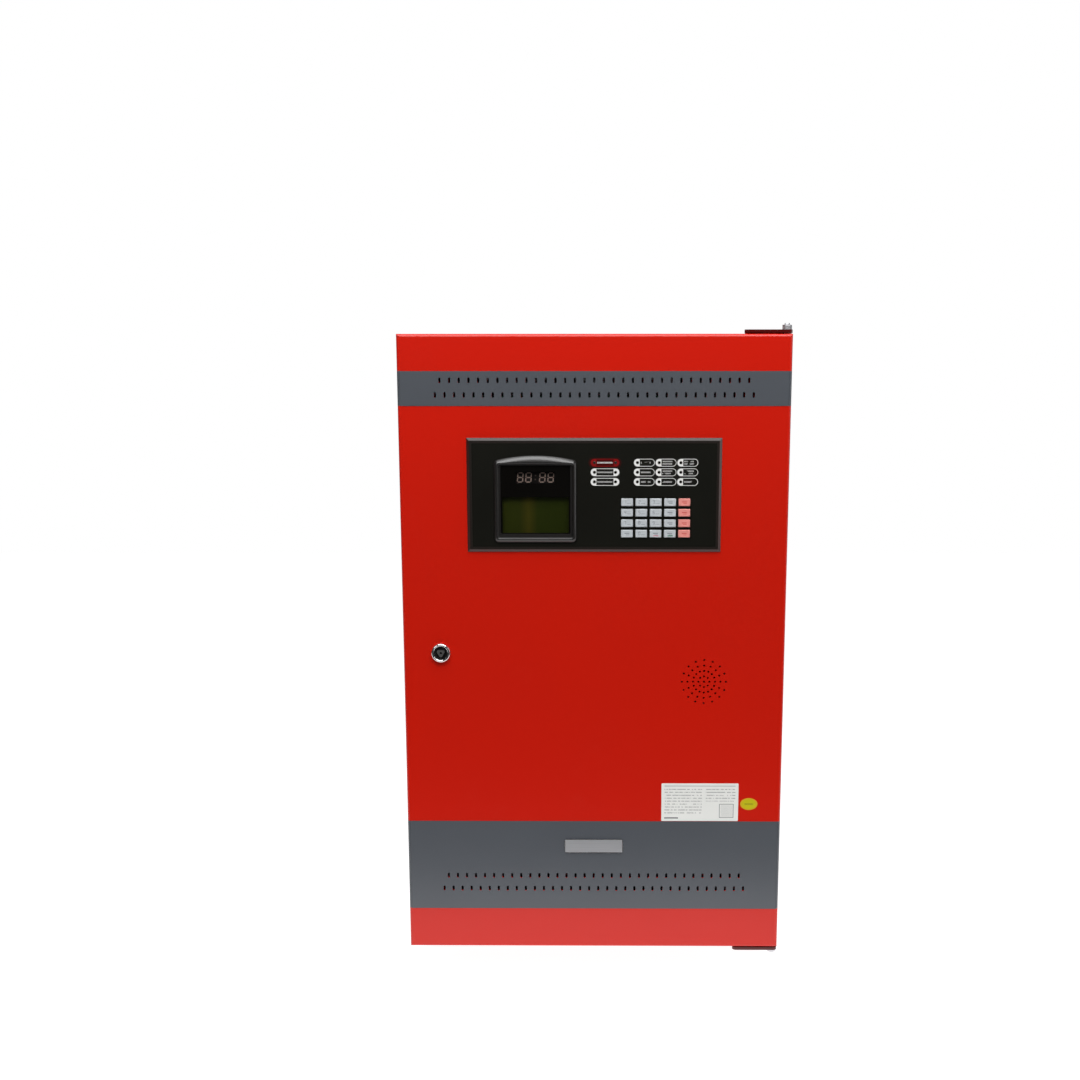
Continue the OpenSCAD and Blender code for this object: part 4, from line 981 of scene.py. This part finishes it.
cone.show(colour=cone.blend(cone_fibre, tone(22, 21, 20), tone(40, 38, 36)),
          roughness=0.75 + cone_fibre * 0.2, normal=cone.bump(cone_rib * 0.6 + cone_fibre * 0.4, 0.15 * MM))
dress(cone, "speaker_cone")


# ======== Lock ========
# A chrome-plated body with a rolled bezel and a round well; in the well a three-sided post for a plain
# utility key, on a core that turns with the cam. Fine rings from turning surround the post. The well's
# walls and the core behind the post's face are painted darker: painted shade for the recess.
lock = Extent("lock_body")


def from_axis(finish):
    """Distance from the lock's axis in mm."""
    return (finish.x - lock.middle.x).distance(finish.z - lock.middle.z)


def turning_marks(finish, fineness):
    """Fine rings: noise that changes only with the distance from the lock's axis."""
    outwards = finish.add("ShaderNodeCombineXYZ", [from_axis(finish) * fineness, 0.0, 0.0])["Vector"]
    return finish.noise(1.0, 2, outwards)


chrome = Finish("lock_chrome", metallic=1.0)
chrome_turned = turning_marks(chrome, 6)
chrome_cloud = chrome.noise(120, 3)
# Inside the well, past its first 0.6 mm, the chrome turns grey: painted shade for the recess.
well = (from_axis(chrome) < 6.85) * (chrome.y > lock.low.y + 0.6)
chrome.show(colour=chrome.blend(well, tone(222, 222, 222), tone(120, 118, 116)),
            roughness=0.1 + chrome_cloud * 0.08 + chrome_turned * 0.06,
            normal=chrome.bump(chrome_turned, 0.01 * MM))
dress(chrome, "lock_body")
core = Finish("lock_core", metallic=1.0)
core_turned = turning_marks(core, 8)
# The post's face, within 2.9 mm of the front, keeps bright metal; the core deeper in the well is dark grey:
# painted shade.
post = core.y < lock.low.y + 2.9
core.show(colour=core.blend(post, tone(70, 68, 66), tone(206, 205, 202)),
          roughness=0.24 + core_turned * 0.14, normal=core.bump(core_turned, 0.015 * MM))
dress(core, "lock_cylinder")


# ======== Rating label ========
# A white matt film with rows of fine grey print, drawn here as plain broken bars, and a small boxed table.
label_middle = Extent("rating_label").middle
label = Finish("label_film", specular_ior_level=0.4)
label_u = label.x - label_middle.x
label_v = label.z - label_middle.z
line_height = 3.1
line_place = label_v + 0.4
in_line = abs(line_place % line_height - line_height / 2) < 0.42
line_number = (line_place / line_height).floor()
word_place = label.add("ShaderNodeCombineXYZ", [label_u * 0.55, line_number * 7.3, 0.0])["Vector"]
word_gap = label.noise(1.0, 1, word_place) > 0.44
stroke_gap = (label_u * 1.25 + line_number * 0.31) % 1.0 > 0.28
left_text = (label_u > -36) * (label_u < 2) * (label_v < 15.5) * (label_v > -13)
right_text = (label_u > 6) * (label_u < 36) * (label_v < 15.5) * (label_v > 1)
small_print = in_line * word_gap * stroke_gap * left_text.most(right_text)
head_line = (abs(label_v - 17) < 0.5) * (abs(label_u) < 36)
box_u = abs(label_u - 27)
box_v = abs(label_v + 9)
box_far = (box_u - 7).most(box_v - 7)
box_frame = abs(box_far) < 0.3
box_cell = (label_u * 0.9 % 1.0 > 0.5) * (label_v * 0.9 % 1.0 > 0.35) * (box_far < -1)
foot_line = (abs(label_v + 16.6) < 0.7) * (label_u > -36) * (label_u < -22)
label_ink = small_print.most(head_line * 0.5).most(box_frame).most(box_cell * 0.5).most(foot_line)
label_cloud = label.noise(26, 3)
label_paper = label.blend(label_cloud, tone(243, 244, 240), tone(234, 235, 231))
label.show(colour=label.blend(label_ink * 0.9, label_paper, tone(96, 98, 104)),
           roughness=0.42 + label_cloud * 0.1, normal=label.bump(label.noise(1500, 2), 0.01 * MM))
dress(label, "rating_label")


# ======== Inspection sticker ========
# A small oval of yellow film with an ochre rim and one line of dark print, drawn as plain bars.
sticker_box = Extent("inspection_sticker")
sticker = Finish("sticker_film", specular_ior_level=0.5)
sticker_u = (sticker.x - sticker_box.middle.x) / sticker_box.half.x
sticker_v = (sticker.z - sticker_box.middle.z) / sticker_box.half.z
sticker_far = sticker_u * sticker_u + sticker_v * sticker_v
sticker_rim = sticker_far > 0.66
sticker_cloud = sticker.noise(90, 3)
sticker_line = (abs(sticker_v) < 0.16) * (abs(sticker_u) < 0.5) * (sticker.x * 1.2 % 1.0 > 0.35)
sticker_base = sticker.blend(sticker_cloud, tone(206, 196, 8), tone(192, 184, 6))
sticker_base = sticker.blend(sticker_line * 0.6, sticker_base, tone(96, 92, 20))
sticker.show(colour=sticker.blend(sticker_rim, sticker_base, tone(214, 172, 34)),
             roughness=0.34 + sticker_cloud * 0.1, normal=sticker.bump(sticker_cloud, 0.02 * MM))
dress(sticker, "inspection_sticker")


# ======== Badge ========
# A plain nameplate of satin anodised aluminium, brushed lengthwise, with a polished edge and nothing on it.
plate = Extent("badge")
badge = Finish("badge_aluminium", metallic=1.0)
badge_lines = badge.streaks((25, 500, 2600), 3)
past_side = abs(badge.x - plate.middle.x) - plate.half.x
past_end = abs(badge.z - plate.middle.z) - plate.half.z
badge_edge = past_side.most(past_end) > -1.0
badge.show(colour=badge.blend(badge_lines, tone(214, 215, 218), tone(186, 188, 192)),
           roughness=0.34 + badge_lines * 0.16 - badge_edge * 0.2,
           normal=badge.bump(badge_lines, 0.015 * MM))
dress(badge, "badge")
